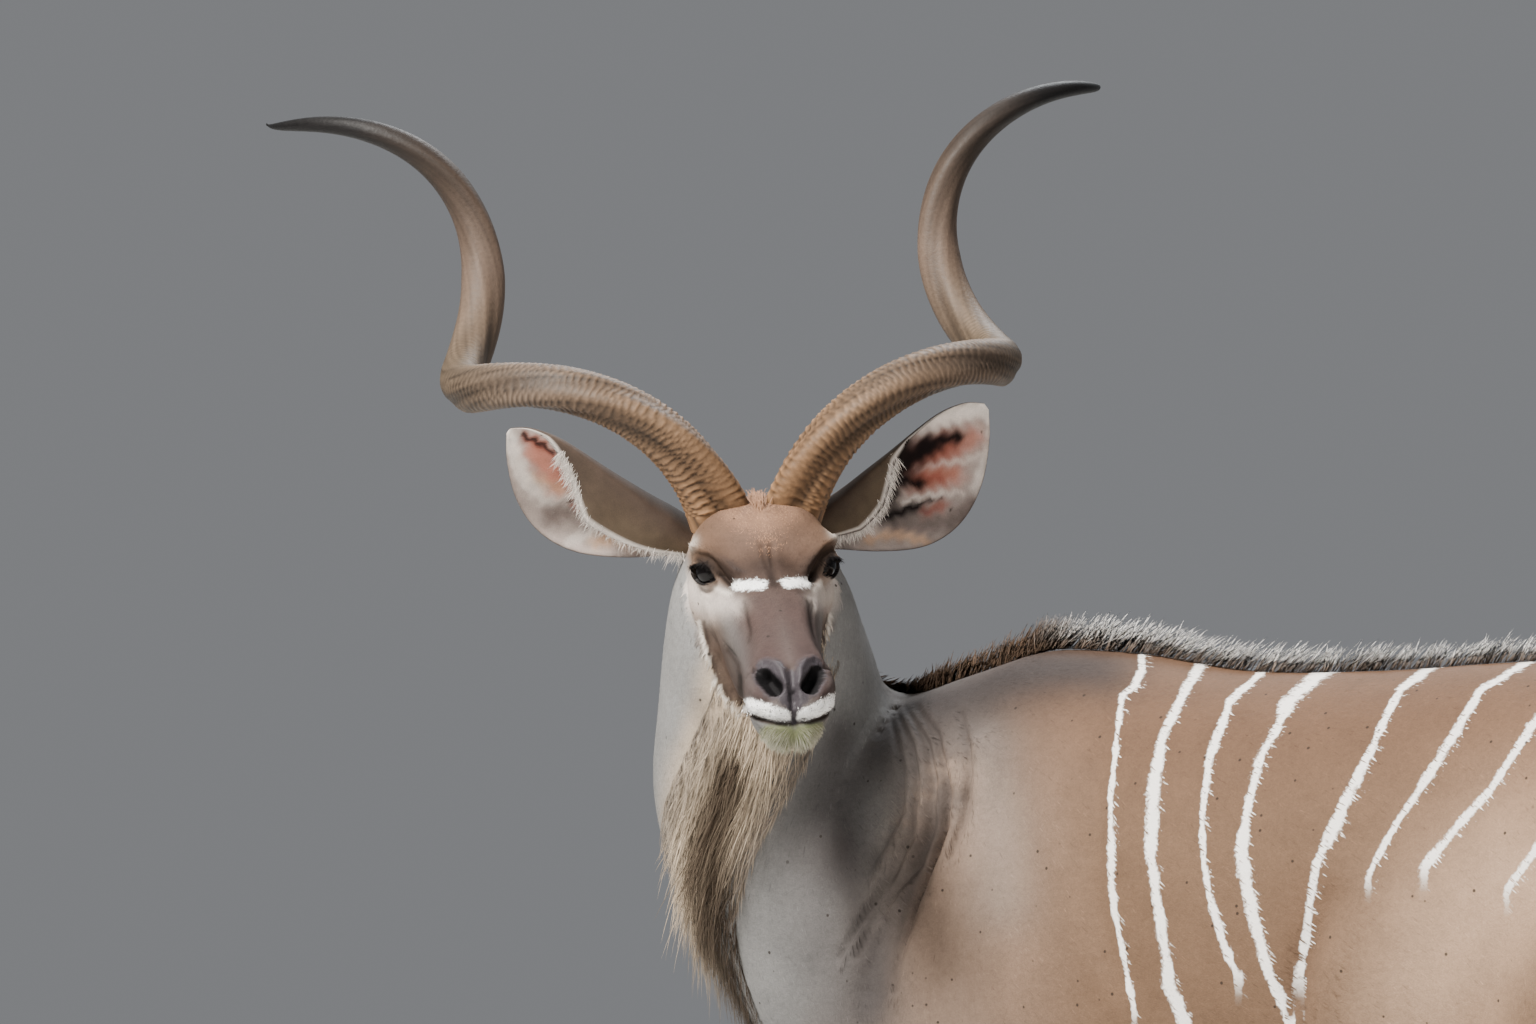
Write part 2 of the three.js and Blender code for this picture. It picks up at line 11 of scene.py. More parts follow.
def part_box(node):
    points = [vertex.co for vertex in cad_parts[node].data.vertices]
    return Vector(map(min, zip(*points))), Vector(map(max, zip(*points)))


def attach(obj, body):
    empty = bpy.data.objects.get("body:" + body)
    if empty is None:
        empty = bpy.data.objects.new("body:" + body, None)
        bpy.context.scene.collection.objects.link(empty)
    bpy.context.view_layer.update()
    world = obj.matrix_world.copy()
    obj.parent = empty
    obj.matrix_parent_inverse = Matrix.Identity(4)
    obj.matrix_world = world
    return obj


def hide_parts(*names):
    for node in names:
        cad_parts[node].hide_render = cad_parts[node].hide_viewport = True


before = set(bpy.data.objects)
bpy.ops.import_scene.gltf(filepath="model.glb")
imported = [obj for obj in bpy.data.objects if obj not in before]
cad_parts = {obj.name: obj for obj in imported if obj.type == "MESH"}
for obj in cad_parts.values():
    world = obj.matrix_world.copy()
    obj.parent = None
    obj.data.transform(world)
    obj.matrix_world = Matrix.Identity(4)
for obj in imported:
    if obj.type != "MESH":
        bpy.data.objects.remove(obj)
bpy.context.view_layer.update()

# Shapes are worked out in millimetres on the animal's own axes: withers over X = 0, facing -X,
# its left side at -Y, the floor at Z = 0. Meshes are in metres, in the row's frame.
mm = 0.001
rng = np.random.default_rng(11)

# How the head is held: turned back over the left shoulder
head = {
    "poll": (-300, -190, 1557),
    "turn": 132,
    "pitch": 26,
    "tilt": 2.8,
    "eye": (121, 57, -25),
    "eyeRadius": 19,
    "muzzleSwing": 8,
    "jawTaper": 0.16,
}


def turned(axis, degrees):
    return np.array(Matrix.Rotation(math.radians(degrees), 3, axis))


headAxes = turned("Z", 180 + head["turn"]) @ turned("X", head["tilt"]) @ turned("Y", head["pitch"])
poll = np.array(head["poll"], float)


def onHead(points):
    return np.asarray(points, float) @ headAxes.T + poll


def toHead(points):
    return (np.asarray(points, float) - poll) @ headAxes


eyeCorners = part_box("eye_left")
origin = (np.array(eyeCorners[0]) + np.array(eyeCorners[1])) / 2 - onHead(head["eye"]) * mm


def toRow(points):
    return np.asarray(points, float) * mm + origin


def fromRow(points):
    return (np.asarray(points, float) - origin) / mm


# The camera: far off and level, as a long lens sees it
shot = {
    "azimuth": 35,
    "elevation": 1,
    "distance": 14000,
    "scale": 1.08,  # millimetres to a pixel at the head
    "aim": -337,  # how far right of the withers the picture's middle is
    "height": 1540,
    "picture": (1536, 1024),
    "sensor": 36,
}

azimuth, elevation = math.radians(shot["azimuth"]), math.radians(shot["elevation"])
backward = np.array((
    math.sin(azimuth) * math.cos(elevation),
    -math.cos(azimuth) * math.cos(elevation),
    math.sin(elevation),
))
rightward = np.array((math.cos(azimuth), math.sin(azimuth), 0))
upward = np.cross(backward, rightward)
cameraSpot = shot["aim"] * rightward + np.array((0, 0, shot["height"])) + shot["distance"] * backward
focal = shot["distance"] / shot["scale"]


def inPicture(points):
    # across and down the picture, in its pixels
    away = points - cameraSpot
    depth = -away @ backward
    across = shot["picture"][0] / 2 + focal * (away @ rightward) / depth
    down = shot["picture"][1] / 2 - focal * (away @ upward) / depth
    return np.stack((across, down), 1)


mirror = np.array((1, -1, 1))


def mirroredPicture(points, near):
    # the same, with the points that aren't on the near side mirrored onto it
    return np.where(near[:, None], inPicture(points), inPicture(points * mirror))


def aimed(name, data, spot, away):
    # a camera or lamp that looks against the direction away
    holder = bpy.data.objects.new(name, data)
    holder.location = spot
    holder.rotation_mode = "QUATERNION"
    holder.rotation_quaternion = Vector(away).to_track_quat("Z", "Y")
    bpy.context.scene.collection.objects.link(holder)
    return holder


def setCamera():
    data = bpy.data.cameras.new("camera")
    data.sensor_width = shot["sensor"]
    data.lens = focal * shot["sensor"] / shot["picture"][0]
    data.clip_end = 100
    bpy.context.scene.camera = aimed("camera", data, toRow(cameraSpot), backward)


setCamera()


def tween(stations, t):
    # rows of numbers, each column on its own smooth curve
    table = np.array(stations, float)
    last = len(table) - 1
    spot = np.clip(np.atleast_1d(t), 0, 1) * last
    at = np.minimum(spot.astype(int), last - 1)
    part = (spot - at)[:, None]
    before, start, after, past = (table[np.clip(at + step, 0, last)] for step in (-1, 0, 1, 2))
    cubes = 2 * part ** 3 - 3 * part ** 2
    leave = (after - before) / 2 * (part ** 3 - 2 * part ** 2 + part)
    arrive = (past - start) / 2 * (part ** 3 - part ** 2)
    return (cubes + 1) * start - cubes * after + leave + arrive


def smooth(value, low, high):
    part = np.clip((value - low) / (high - low), 0, 1)
    return part * part * (3 - 2 * part)


def graded(sizes, share):
    return tween(np.array(sizes)[:, None], share)[:, 0]


def unit(rows):
    return rows / np.maximum(np.linalg.norm(rows, axis=-1, keepdims=True), 1e-9)


def flattened(rows, normals):
    # rows without the part of them that runs along the normals
    return rows - normals * np.sum(rows * normals, 1)[:, None]


def section(angle, rise, drop, half, fullness):
    up, side = np.cos(angle), np.sin(angle)
    tall = np.sign(up) * np.abs(up) ** fullness * np.where(up > 0, rise, drop)
    return tall, np.sign(side) * np.abs(side) ** fullness * half


def wrap(rings, sides, spot, middle):
    # a ball whose rings are moved onto the sections of a long form
    bm = bmesh.new()
    bmesh.ops.create_uvsphere(bm, u_segments=sides, v_segments=rings + 1, radius=1)
    places = np.array([vert.co for vert in bm.verts])
    row = np.rint(np.arccos(np.clip(places[:, 2], -1, 1)) / math.pi * (rings + 1))
    angle = np.arctan2(places[:, 1], places[:, 0])
    t = np.clip((row - 1) / (rings - 1), 0, 1)
    points = spot(t, angle)
    ends = (row < 0.5) | (row > rings + 0.5)
    points[ends] = middle(t[ends])
    keepAlong = bm.verts.layers.float.new("along")
    keepAround = bm.verts.layers.float.new("around")
    for vert, point, here, turn in zip(bm.verts, points, t, angle):
        vert.co = point
        vert[keepAlong] = here
        vert[keepAround] = turn
    bmesh.ops.recalc_face_normals(bm, faces=bm.faces[:])
    return bm


def ball(size, at, turn=None, sides=32):
    bm = bmesh.new()
    bmesh.ops.create_uvsphere(bm, u_segments=sides, v_segments=sides * 5 // 8, radius=1)
    bmesh.ops.scale(bm, vec=size, verts=bm.verts[:])
    if turn is not None:
        bmesh.ops.transform(bm, matrix=Matrix(turn.tolist()).to_4x4(), verts=bm.verts[:])
    bmesh.ops.translate(bm, vec=at, verts=bm.verts[:])
    return bm


def toMesh(name, forms):
    # several closed forms in one mesh, moved from the animal's millimetres to the row's metres
    whole = bmesh.new()
    for form in forms:
        part = bpy.data.meshes.new("part")
        form.to_mesh(part)
        form.free()
        whole.from_mesh(part)
        bpy.data.meshes.remove(part)
    bmesh.ops.scale(whole, vec=(mm, mm, mm), verts=whole.verts[:])
    bmesh.ops.translate(whole, vec=origin, verts=whole.verts[:])
    for face in whole.faces:
        face.smooth = True
    mesh = bpy.data.meshes.new(name)
    whole.to_mesh(mesh)
    whole.free()
    return mesh


def place(name, mesh, slotName, *nodes):
    piece = bpy.data.objects.new(name, mesh)
    bpy.context.scene.collection.objects.link(piece)
    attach(piece, "root")
    if nodes:
        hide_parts(*nodes)
    return piece


# Torso and neck in one, from the rump to the poll: centre x, y, z; turn to the left; slope of the
# underside; height above the centre, depth below it, half width
bodyStations = [
    (1018, 0, 1165, 0, 90, 50, 105, 55),
    (975, 0, 1150, 0, 90, 115, 200, 130),
    (880, 0, 1130, 0, 90, 208, 240, 182),
    (750, 0, 1120, 0, 90, 262, 265, 200),
    (590, 0, 1105, 0, 90, 288, 272, 206),
    (410, 0, 1080, 0, 90, 301, 305, 222),
    (230, 0, 1062, 0, 90, 314, 314, 228),
    (90, 0, 1070, 0, 90, 322, 318, 212),
    (-35, 0, 1080, 0, 86, 317, 300, 192),
    (-150, -5, 1086, 2, 75, 309, 290, 184),
    (-245, -20, 1120, 10, 69, 256, 240, 172),
    (-305, -45, 1175, 27, 58, 200, 190, 155),
    (-328, -80, 1227, 55, 45, 165, 162, 143),
    (-332, -110, 1285, 85, 33, 148, 148, 131),
    (-318, -135, 1345, 104, 26, 142, 140, 121),
    (-305, -160, 1405, 118, 20, 132, 122, 112),
    (-296, -178, 1462, 127, 14, 114, 96, 98),
    (-294, -186, 1510, 131, 8, 86, 70, 74),
]

coatDepth = 4  # the skin lies this far inside the animal's outline


def bodyFrame(t):
    x, y, z, turn, slope, rise, drop, half = tween(bodyStations, t).T
    turn, slope = np.radians(turn), np.radians(slope)
    flat = np.cos(slope)
    under = np.stack((-np.cos(turn) * flat, -np.sin(turn) * flat, -np.sin(slope)), 1)
    left = np.stack((np.sin(turn), -np.cos(turn), np.zeros_like(turn)), 1)
    return np.stack((x, y, z), 1), under, left, rise, drop, half


def bodySpot(t, angle, grow=-coatDepth):
    centre, under, left, rise, drop, half = bodyFrame(t)
    up, side = section(angle, rise + grow, drop + grow, half + grow, 0.94)
    return centre - under * up[:, None] + left * side[:, None]


# Legs as level sections: height, x, y, half length, half width
foreStations = [
    (1345, 15, 50, 60, 50), (1250, -25, 102, 116, 66), (1130, -80, 124, 148, 75),
    (1010, -100, 134, 152, 74), (910, -62, 144, 128, 66), (825, -20, 148, 92, 55),
    (740, -12, 148, 63, 46), (640, -14, 146, 47, 38), (540, -22, 143, 37, 31),
    (450, -28, 141, 38, 33), (390, -28, 140, 28, 26), (300, -25, 139, 25, 21),
    (210, -25, 138, 25, 21), (155, -28, 138, 32, 27), (108, -43, 138, 26, 24),
    (75, -56, 138, 33, 30), (50, -62, 138, 37, 32),
]
hindStations = [
    (1310, 770, 66, 120, 55), (1210, 805, 104, 185, 88), (1090, 802, 124, 205, 99),
    (970, 778, 134, 192, 92), (880, 757, 139, 154, 80), (795, 785, 140, 113, 65),
    (705, 842, 137, 77, 50), (615, 905, 133, 53, 36), (550, 945, 131, 52, 33),
    (485, 953, 130, 41, 30), (410, 946, 130, 30, 24), (310, 939, 130, 27, 22),
    (215, 933, 130, 27, 22), (160, 929, 130, 34, 28), (110, 909, 130, 27, 25),
    (75, 896, 130, 34, 31), (50, 890, 130, 38, 33),
]
legs = {
    "foreleg_left": (foreStations, -1, -30),
    "foreleg_right": (foreStations, 1, 40),
    "hindleg_left": (hindStations, -1, 55),
    "hindleg_right": (hindStations, 1, -50),
}
leanTop = 950
legInset = 2


def legFrame(stations, side, stride, t):
    z, x, y, long, wide = tween(stations, t).T
    return np.stack((x + stride * np.maximum(0, 1 - z / leanTop), side * y, z), 1), long, wide


def legSpot(stations, side, stride, t, angle):
    centre, long, wide = legFrame(stations, side, stride, t)
    out = np.stack((-np.cos(angle) * (long - legInset), -np.sin(angle) * (wide - legInset)), 1)
    centre[:, :2] += out
    return centre


# The head on its own axes: x along the face, level of the widest place, rise, drop, half width
headStations = [
    (-38, -72, 26, 34, 34), (-18, -66, 58, 76, 62), (20, -55, 66, 116, 72),
    (65, -42, 60, 153, 79), (102, -36, 51, 160, 80), (134, -37, 46, 148, 70),
    (168, -44, 48, 134, 61), (215, -55, 56, 109, 53), (275, -59, 57, 90, 46),
    (330, -57, 52, 71, 46), (372, -55, 46, 57, 47), (399, -57, 31, 44, 38),
    (412, -60, 16, 26, 21),
]


def swing(x):
    return -head["muzzleSwing"] * np.clip((x - 100) / 300, 0, 1)


def headSpot(t, angle, grow=-1.5):
    x, level, rise, drop, half = tween(headStations, t).T
    up, side = section(angle, rise + grow, drop + grow, half + grow, 0.88)
    jaw = 1 - head["jawTaper"] * np.maximum(0, -np.cos(angle))
    return onHead(np.stack((x, side * jaw + swing(x), level + up), 1))


def headMiddle(t):
    x, level = tween(headStations, t).T[:2]
    return onHead(np.stack((x, swing(x), level), 1))


# The dock of the tail: height, x, half length, half width
tailStations = [
    (1262, 985, 20, 24), (1235, 1018, 21, 25), (1190, 1044, 18, 22), (1100, 1062, 13, 17),
    (1000, 1068, 11, 14), (900, 1068, 9, 12), (850, 1066, 4, 5),
]


def tailSpot(t, angle):
    z, x, long, wide = tween(tailStations, t).T
    return np.stack((x - np.cos(angle) * long, -np.sin(angle) * wide, z), 1)


def tailMiddle(t):
    z, x = tween(tailStations, t).T[:2]
    return np.stack((x, np.zeros_like(x), z), 1)


def bodyMiddle(t):
    return bodyFrame(t)[0]


def legParts(name):
    stations, side, stride = legs[name]

    def spot(t, angle):
        return legSpot(stations, side, stride, t, angle)

    def middle(t):
        return legFrame(stations, side, stride, t)[0]

    return spot, middle


# Flesh that stands out from the plain sections: size and place, on both sides of the body
muscles = [
    ((60, 26, 120), (-25, 150, 1190)),
    ((70, 30, 95), (40, 138, 960)),
    ((120, 34, 120), (800, 150, 1130)),
    ((40, 20, 110), (690, 172, 1060)),
]


# Rings and sides of the plain forms under the skin
fleshGrid = {"body": (150, 80), "leg": (90, 32), "head": (90, 64), "fine head": (260, 180), "tail": (40, 16)}


def makeFlesh():
    forms = [wrap(*fleshGrid["body"], bodySpot, bodyMiddle)]
    forms += [wrap(*fleshGrid["leg"], *legParts(name)) for name in legs]
    forms.append(wrap(*fleshGrid["head"], headSpot, headMiddle))
    forms.append(wrap(*fleshGrid["tail"], tailSpot, tailMiddle))
    for size, (x, y, z) in muscles:
        forms += [ball(size, (x, side * y, z)) for side in (-1, 1)]
    return toMesh("skin", forms)


def applied(piece):
    graph = bpy.context.evaluated_depsgraph_get()
    mesh = bpy.data.meshes.new_from_object(piece.evaluated_get(graph))
    old = piece.data
    piece.modifiers.clear()
    piece.data = mesh
    bpy.data.meshes.remove(old)
    return mesh


# The guide: points spread over every form, each with the way its hair lies and its place on the map
guideForms = {
    # name: region number, spot, rings, sides, place on the unwrap (left, bottom, width, height)
    "body": (0, bodySpot, 260, 110, (0.01, 0.42, 0.98, 0.57)),
    "head": (1, headSpot, 130, 70, (0.01, 0.01, 0.32, 0.39)),
    "tail": (2, tailSpot, 60, 12, (0.93, 0.01, 0.06, 0.39)),
}
for number, name in enumerate(legs):
    guideForms[name] = (
        3 + number, legParts(name)[0], 130, 36, (0.43 + 0.125 * number, 0.01, 0.11, 0.39))


def onMap(name, across, up):
    # a place on the unwrap, from shares across and up the form's own rectangle
    left, bottom, width, height = guideForms[name][-1]
    return np.stack((left + width * across, bottom + height * up), 1)


def makeGuide():
    points, lies, regions, ways, maps = [], [], [], [], []
    for name, (region, spot, rings, sides, _) in guideForms.items():
        t, angle = np.meshgrid(
            np.linspace(0, 1, rings), np.linspace(-math.pi, math.pi, sides, endpoint=False))
        t, angle = t.ravel(), angle.ravel()
        here = spot(t, angle)
        along = unit(spot(np.minimum(t + 0.004, 1), angle) - spot(np.maximum(t - 0.004, 0), angle))
        around = angle / math.tau + 0.5
        if region in (0, 1):  # hair lies from the nose to the poll, and down the neck to the rump
            along = -along
            maps.append(onMap(name, t, around))
        else:
            maps.append(onMap(name, around, t))
        points.append(here)
        lies.append(along)
        regions.append(np.full(len(t), region))
        ways.append(np.stack((t, angle), 1))
    tree = KDTree(sum(len(rows) for rows in points))
    for number, point in enumerate(np.concatenate(points)):
        tree.insert(point, number)
    tree.balance()
    return tree, *(np.concatenate(rows) for rows in (points, lies, regions, ways, maps))


guideTree, guidePoints, guideLies, guideRegions, guideWays, guideMaps = makeGuide()


def nearestGuide(points):
    return np.array([guideTree.find(point)[1] for point in points])


print("guide made", len(guidePoints))


def fetch(items, field, wide, kind=float):
    flat = np.empty(len(items) * wide, kind)
    items.foreach_get(field, flat)
    return flat.reshape(-1, wide)


def meshPoints(mesh):
    return fetch(mesh.vertices, "co", 3)


def meshNormals(mesh):
    return fetch(mesh.vertex_normals, "vector", 3)


def meshEdges(mesh):
    return fetch(mesh.edges, "vertices", 2, np.int32)


def readAttribute(mesh, name):
    return fetch(mesh.attributes[name].data, "value", 1, np.float32)[:, 0].astype(float)


def treeOf(mesh):
    bm = bmesh.new()
    bm.from_mesh(mesh)
    tree = BVHTree.FromBMesh(bm)
    bm.free()
    return tree


def relax(values, edges, times, share=0.5, weight=None):
    # every vertex moves some way to the middle of its neighbours
    count = np.bincount(edges.ravel(), minlength=len(values)).astype(float)[:, None]
    pull = share if weight is None else share * weight[:, None]
    for _ in range(times):
        total = np.zeros_like(values)
        for column in range(values.shape[1]):
            for near, far in ((0, 1), (1, 0)):
                total[:, column] += np.bincount(
                    edges[:, near], values[edges[:, far], column], minlength=len(values))
        values = values + (total / np.maximum(count, 1) - values) * pull
    return values


skinSettings = {
    "voxel": 0.0117,
    "relax": 5,
    "legRelax": 0.4,  # share of it that the thin lower legs get
    # across and down the picture, where folds need finer faces, once and then once more
    "foldWindows": [((830, 1110), (690, 1030)), ((836, 975), (702, 1000))],
    "finer": [  # boxes on the head's axes whose faces are cut in four, one after the other
        ((-60, 430), (-110, 110), (-240, 60)),
        ((40, 430), (-100, 100), (-140, 40)),
        ((92, 168), (-92, 92), (-58, 14)),
        ((352, 430), (-60, 60), (-100, 4)),
    ],
}


def setPoints(mesh, points):
    mesh.vertices.foreach_set("co", np.ascontiguousarray(points, np.float32).ravel())
    mesh.update()


def boxed(places, box):
    low, high = np.array(box).T
    return np.all((places > low) & (places < high), axis=1)


def refine(mesh, inside):
    bm = bmesh.new()
    bm.from_mesh(mesh)
    picked = [edge for edge in bm.edges if all(inside[vert.index] for vert in edge.verts)]
    bmesh.ops.subdivide_edges(bm, edges=picked, cuts=1, use_grid_fill=True)
    bm.to_mesh(mesh)
    bm.free()


def snapHead(mesh):
    # the finer faces go back onto the true outline of the head
    fine = toMesh("fine", [wrap(*fleshGrid["fine head"], headSpot, headMiddle)])
    tree = treeOf(fine)
    bpy.data.meshes.remove(fine)
    points = meshPoints(mesh)
    places = toHead(fromRow(points))
    hold = smooth(places[:, 0], 20, 90) * smooth(places[:, 2] + places[:, 0] * 0.8, -150, -60)
    for number in np.flatnonzero(hold > 0.01):
        spot, _, _, distance = tree.find_nearest(points[number], 0.012)
        if spot is not None:
            near = smooth(-distance / mm, -6.5, -4)
            points[number] += (np.array(spot) - points[number]) * hold[number] * near
    setPoints(mesh, points)


skin = place("skin", makeFlesh(), "coat", "head", "neck", "torso", "tail", *legs)
remesh = skin.modifiers.new("remesh", "REMESH")
remesh.mode = "VOXEL"
remesh.voxel_size = skinSettings["voxel"]
applied(skin)
level = meshPoints(skin.data)[:, 2] / mm
gentle = skinSettings["legRelax"] + (1 - skinSettings["legRelax"]) * smooth(level, 650, 950)
relaxed = relax(meshPoints(skin.data), meshEdges(skin.data), skinSettings["relax"], weight=gentle)
setPoints(skin.data, relaxed)
for window in skinSettings["foldWindows"]:
    inWindow = boxed(inPicture(fromRow(meshPoints(skin.data))), window)
    refine(skin.data, (meshNormals(skin.data) @ backward > -0.1) & inWindow)
for box in skinSettings["finer"]:
    refine(skin.data, boxed(toHead(fromRow(meshPoints(skin.data))), box))
snapHead(skin.data)
setPoints(skin.data, relax(meshPoints(skin.data), meshEdges(skin.data), 1))
print("skin remeshed", len(skin.data.polygons))


def toLine(points, line):
    # the distance of every point from a line through a few places, and how far along it is nearest
    line = np.asarray(line, float)
    if len(line) == 1:
        return np.linalg.norm(points - line[0], axis=1), np.zeros(len(points))
    best = np.full(len(points), 1e9)
    along = np.zeros(len(points))
    for number, (start, end) in enumerate(zip(line, line[1:])):
        run = end - start
        part = np.clip((points - start) @ run / (run @ run), 0, 1)
        gap = np.linalg.norm(points - start - part[:, None] * run, axis=1)
        nearer = gap < best
        best = np.where(nearer, gap, best)
        along = np.where(nearer, (number + part) / (len(line) - 1), along)
    return best, along


# Lines of the face that both strokes and marks follow
wrinkles = ([(668, 500), (665, 530), (668, 568)], [(677, 502), (674, 532), (677, 562)])
nostrilLine = [(764, 677), (769, 682), (774, 688)]
upperLip = [(750, 706), (758, 708), (770, 713), (786, 717)]

# Strokes of the face, drawn in the picture on the viewer's left half of the face and repeated on
# the other half: height (out of the skin is plus), reach, how sharp, line of places
faceStrokes = {
    "brow boss": (6, 24, 2, [(704, 512), (716, 520)]),
    "brow roof": (6, 13, 2, [(688, 546), (700, 544), (714, 550)]),
    "brow edge": (7, 6, 2, [(686, 540), (698, 550), (712, 556), (727, 566), (736, 574)]),
    "under the brow": (-10, 5, 2, [(709, 562), (717, 570), (728, 580)]),
    "tear groove": (-4, 4.5, 2, [(712, 574), (720, 580), (728, 584), (735, 583)]),
    "forehead furrow": (-3.4, 4.5, 2, [(771, 545), (772, 562), (773, 578)]),
    "forehead dip": (-3, 16, 2, [(752, 556), (745, 566)]),
    "forehead dome": (4, 26, 2, [(768, 512)]),
    "below the bars": (-2, 9, 2, [(745, 596), (735, 600)]),
    "first wrinkle": (-2.6, 3, 2, wrinkles[0]),
    "second wrinkle": (-2.6, 3, 2, wrinkles[1]),
    "cheek vein": (-2.6, 3.2, 2, [(735, 608), (744, 616), (748, 628), (750, 640)]),
    "bridge edge": (3.2, 9, 2, [(752, 604), (760, 626), (762, 645), (756, 660)]),
    "muzzle crease": (-3.6, 4.5, 2, [(726, 648), (736, 660), (741, 675), (741, 694), (744, 706)]),
    "muzzle bulge": (4, 10, 2, [(748, 676), (748, 692)]),
    "cheek hollow": (-4, 13, 2, [(712, 640), (722, 660), (730, 680)]),
    "cheek plane": (3, 16, 2, [(704, 600), (714, 622)]),
    "nostril rim": (4.5, 4.6, 2, [(754, 676), (757, 667), (765, 661), (775, 663), (782, 671), (785, 684)]),
    "nostril wing": (3, 6, 2, [(751, 682), (755, 692), (766, 697)]),
    "nostril": (-17, 8.6, 5, [(763, 676), (768, 681), (775, 687)]),
    "nostril slit": (-5, 3.4, 2, [(757, 672), (752, 674), (748, 680)]),
    "nose middle": (-3, 4.5, 2, [(791, 668), (792, 684), (792, 700)]),
    "lip lobe": (3.6, 10, 2, [(776, 708), (762, 709), (752, 706)]),
    "lip cleft": (-4.5, 3, 2, [(792, 692), (793, 706), (793, 718)]),
    "mouth": (-7, 3.2, 2, [(793, 722), (778, 722), (762, 719), (749, 713), (742, 704)]),
    "chin": (4, 14, 2, [(785, 738)]),
    "chin crease": (-3, 5, 2, [(758, 728), (765, 738), (772, 748)]),
}

# The same on the head's own axes, where the picture doesn't show it
sideStrokes = {
    "temple": (-6, 18, 2, [(70, 80, -42), (92, 80, -46)]),
    "socket": (-4, 26, 2, [(136, 78, -38)]),
    "jaw muscle": (6, 36, 2, [(84, 74, -100), (100, 68, -128)]),
    "jaw muscle edge": (-4, 9, 2, [(158, 62, -90), (152, 58, -110), (134, 50, -150)]),
}

# Folds of the near side of the neck and body: height, reach, line of places in the picture
bodyStrokes = {
    "first neck fold": (-6, 3.6, [(890, 714), (902, 770), (900, 810), (886, 838), (866, 874)]),
    "second neck fold": (-9, 3.6, [
        (896, 710), (912, 746), (917, 782), (910, 830), (890, 870), (858, 922), (838, 958)]),
    "third neck fold": (-10, 3.8, [
        (906, 708), (926, 742), (932, 778), (926, 822), (910, 862), (886, 890), (866, 922), (854, 958)]),
    "fourth neck fold": (-13, 4.5, [
        (916, 706), (936, 734), (944, 778), (938, 826), (922, 866), (910, 898), (900, 940), (892, 990)]),
    "last neck fold": (-8, 4, [(960, 714), (966, 742), (968, 782), (962, 822), (950, 856)]),
    "between the folds": (5, 7, [(922, 712), (948, 755), (956, 790), (950, 830), (932, 880)]),
    "neck roll": (4, 6, [(902, 716), (920, 760), (924, 800), (915, 845), (890, 885)]),
    "breast fold": (-16, 15, [(950, 800), (925, 850), (880, 950), (866, 1030)]),
    "upper breast fold": (-7, 8, [(905, 860), (880, 900), (866, 950), (862, 990)]),
    "shoulder line": (-6, 11, [(1067, 800), (1076, 850), (1088, 915), (1096, 960)]),
    "arm line": (-7, 13, [(1098, 765), (1093, 855), (1109, 956), (1150, 1030)]),
    "behind the arm": (-5, 20, [(1125, 880), (1140, 960), (1165, 1040)]),
    "blade": (7, 34, [(1010, 700), (1045, 790), (1060, 860)]),
    "flank fold": (-11, 16, [(1330, 900), (1305, 960), (1300, 1000), (1325, 1050)]),
    "flank hollow": (-12, 60, [(1440, 740), (1400, 830), (1360, 900)]),
    "hip": (9, 60, [(1560, 720), (1600, 800)]),
}
# Those that the far side of the body has too, behind the turned neck
onBothSides = ("shoulder line", "arm line", "behind the arm", "blade", "flank fold", "flank hollow", "hip")
neckStart = -170  # forward of this place along the body is the turned neck


def castStrokes(mesh):
    # lines drawn in the picture laid on the skin of the head, on the head's axes, left half
    tree = treeOf(mesh)
    eye = Vector(toRow(cameraSpot))
    width, height = shot["picture"]
    strokes = []
    for rise, reach, power, line in faceStrokes.values():
        laid = []
        for across, down in line:
            ray = -backward * focal + rightward * (across - width / 2) - upward * (down - height / 2)
            spot = tree.ray_cast(eye, Vector(ray))[0]
            if spot is None:
                print("a stroke misses the head", across, down)
                continue
            x, y, z = toHead(fromRow(np.array(spot)))
            laid.append((x, abs(y - swing(x)), z))
        strokes.append((rise, reach, power, laid))
    return strokes


def tapered(along, margin):
    # a stroke thins out towards both its ends
    return np.sin(math.pi * np.clip(along, margin, 1 - margin)) ** 0.5


def carve(mesh):
    points = fromRow(meshPoints(mesh))
    normals = meshNormals(mesh)
    places = toHead(points)
    mirrored = np.stack((places[:, 0], np.abs(places[:, 1] - swing(places[:, 0])), places[:, 2]), 1)
    height = np.zeros(len(points))
    onFace = boxed(places, ((-20, 450), (-120, 120), (-260, 80)))
    for rise, reach, power, line in [*castStrokes(mesh), *sideStrokes.values()]:
        gap, _ = toLine(mirrored[onFace], line)
        height[onFace] += rise * np.exp(-(gap / reach) ** power)
    flat, opposite = inPicture(points), inPicture(points * mirror)
    facing = smooth(normals @ backward, 0, 0.5) * (~onFace | (places[:, 0] < 0))
    farSide = (points[:, 1] > 0) & (points[:, 0] > neckStart)
    farFacing = smooth((normals * mirror) @ backward, 0, 0.5) * farSide
    for name, (rise, reach, line) in bodyStrokes.items():
        gap, along = toLine(flat, line)
        ends = tapered(along, 0.06)
        height += rise * np.exp(-(gap / reach) ** 2) * facing * ends
        if name in onBothSides:
            gap, _ = toLine(opposite, line)
            height += rise * np.exp(-(gap / reach) ** 2) * farFacing * ends
    setPoints(mesh, toRow(points + normals * height[:, None]))


carve(skin.data)

# Lids: an almond opening over the eyeball, on axes along, up and out of the eye
lids = {
    "yaw": 52,
    "long": 19.5,
    "upper": 11.5,
    "lower": 9,
    "middle": -1,  # how far forward of the eyeball's middle the opening's middle lies
    "slant": 0.12,
    "edge": 2.2,  # the lid stands this far off the eyeball
    "reach": (27, 19),
    "deep": 45,  # further out of the head than this nothing belongs to the eye
}
gazeYaw = math.radians(lids["yaw"])


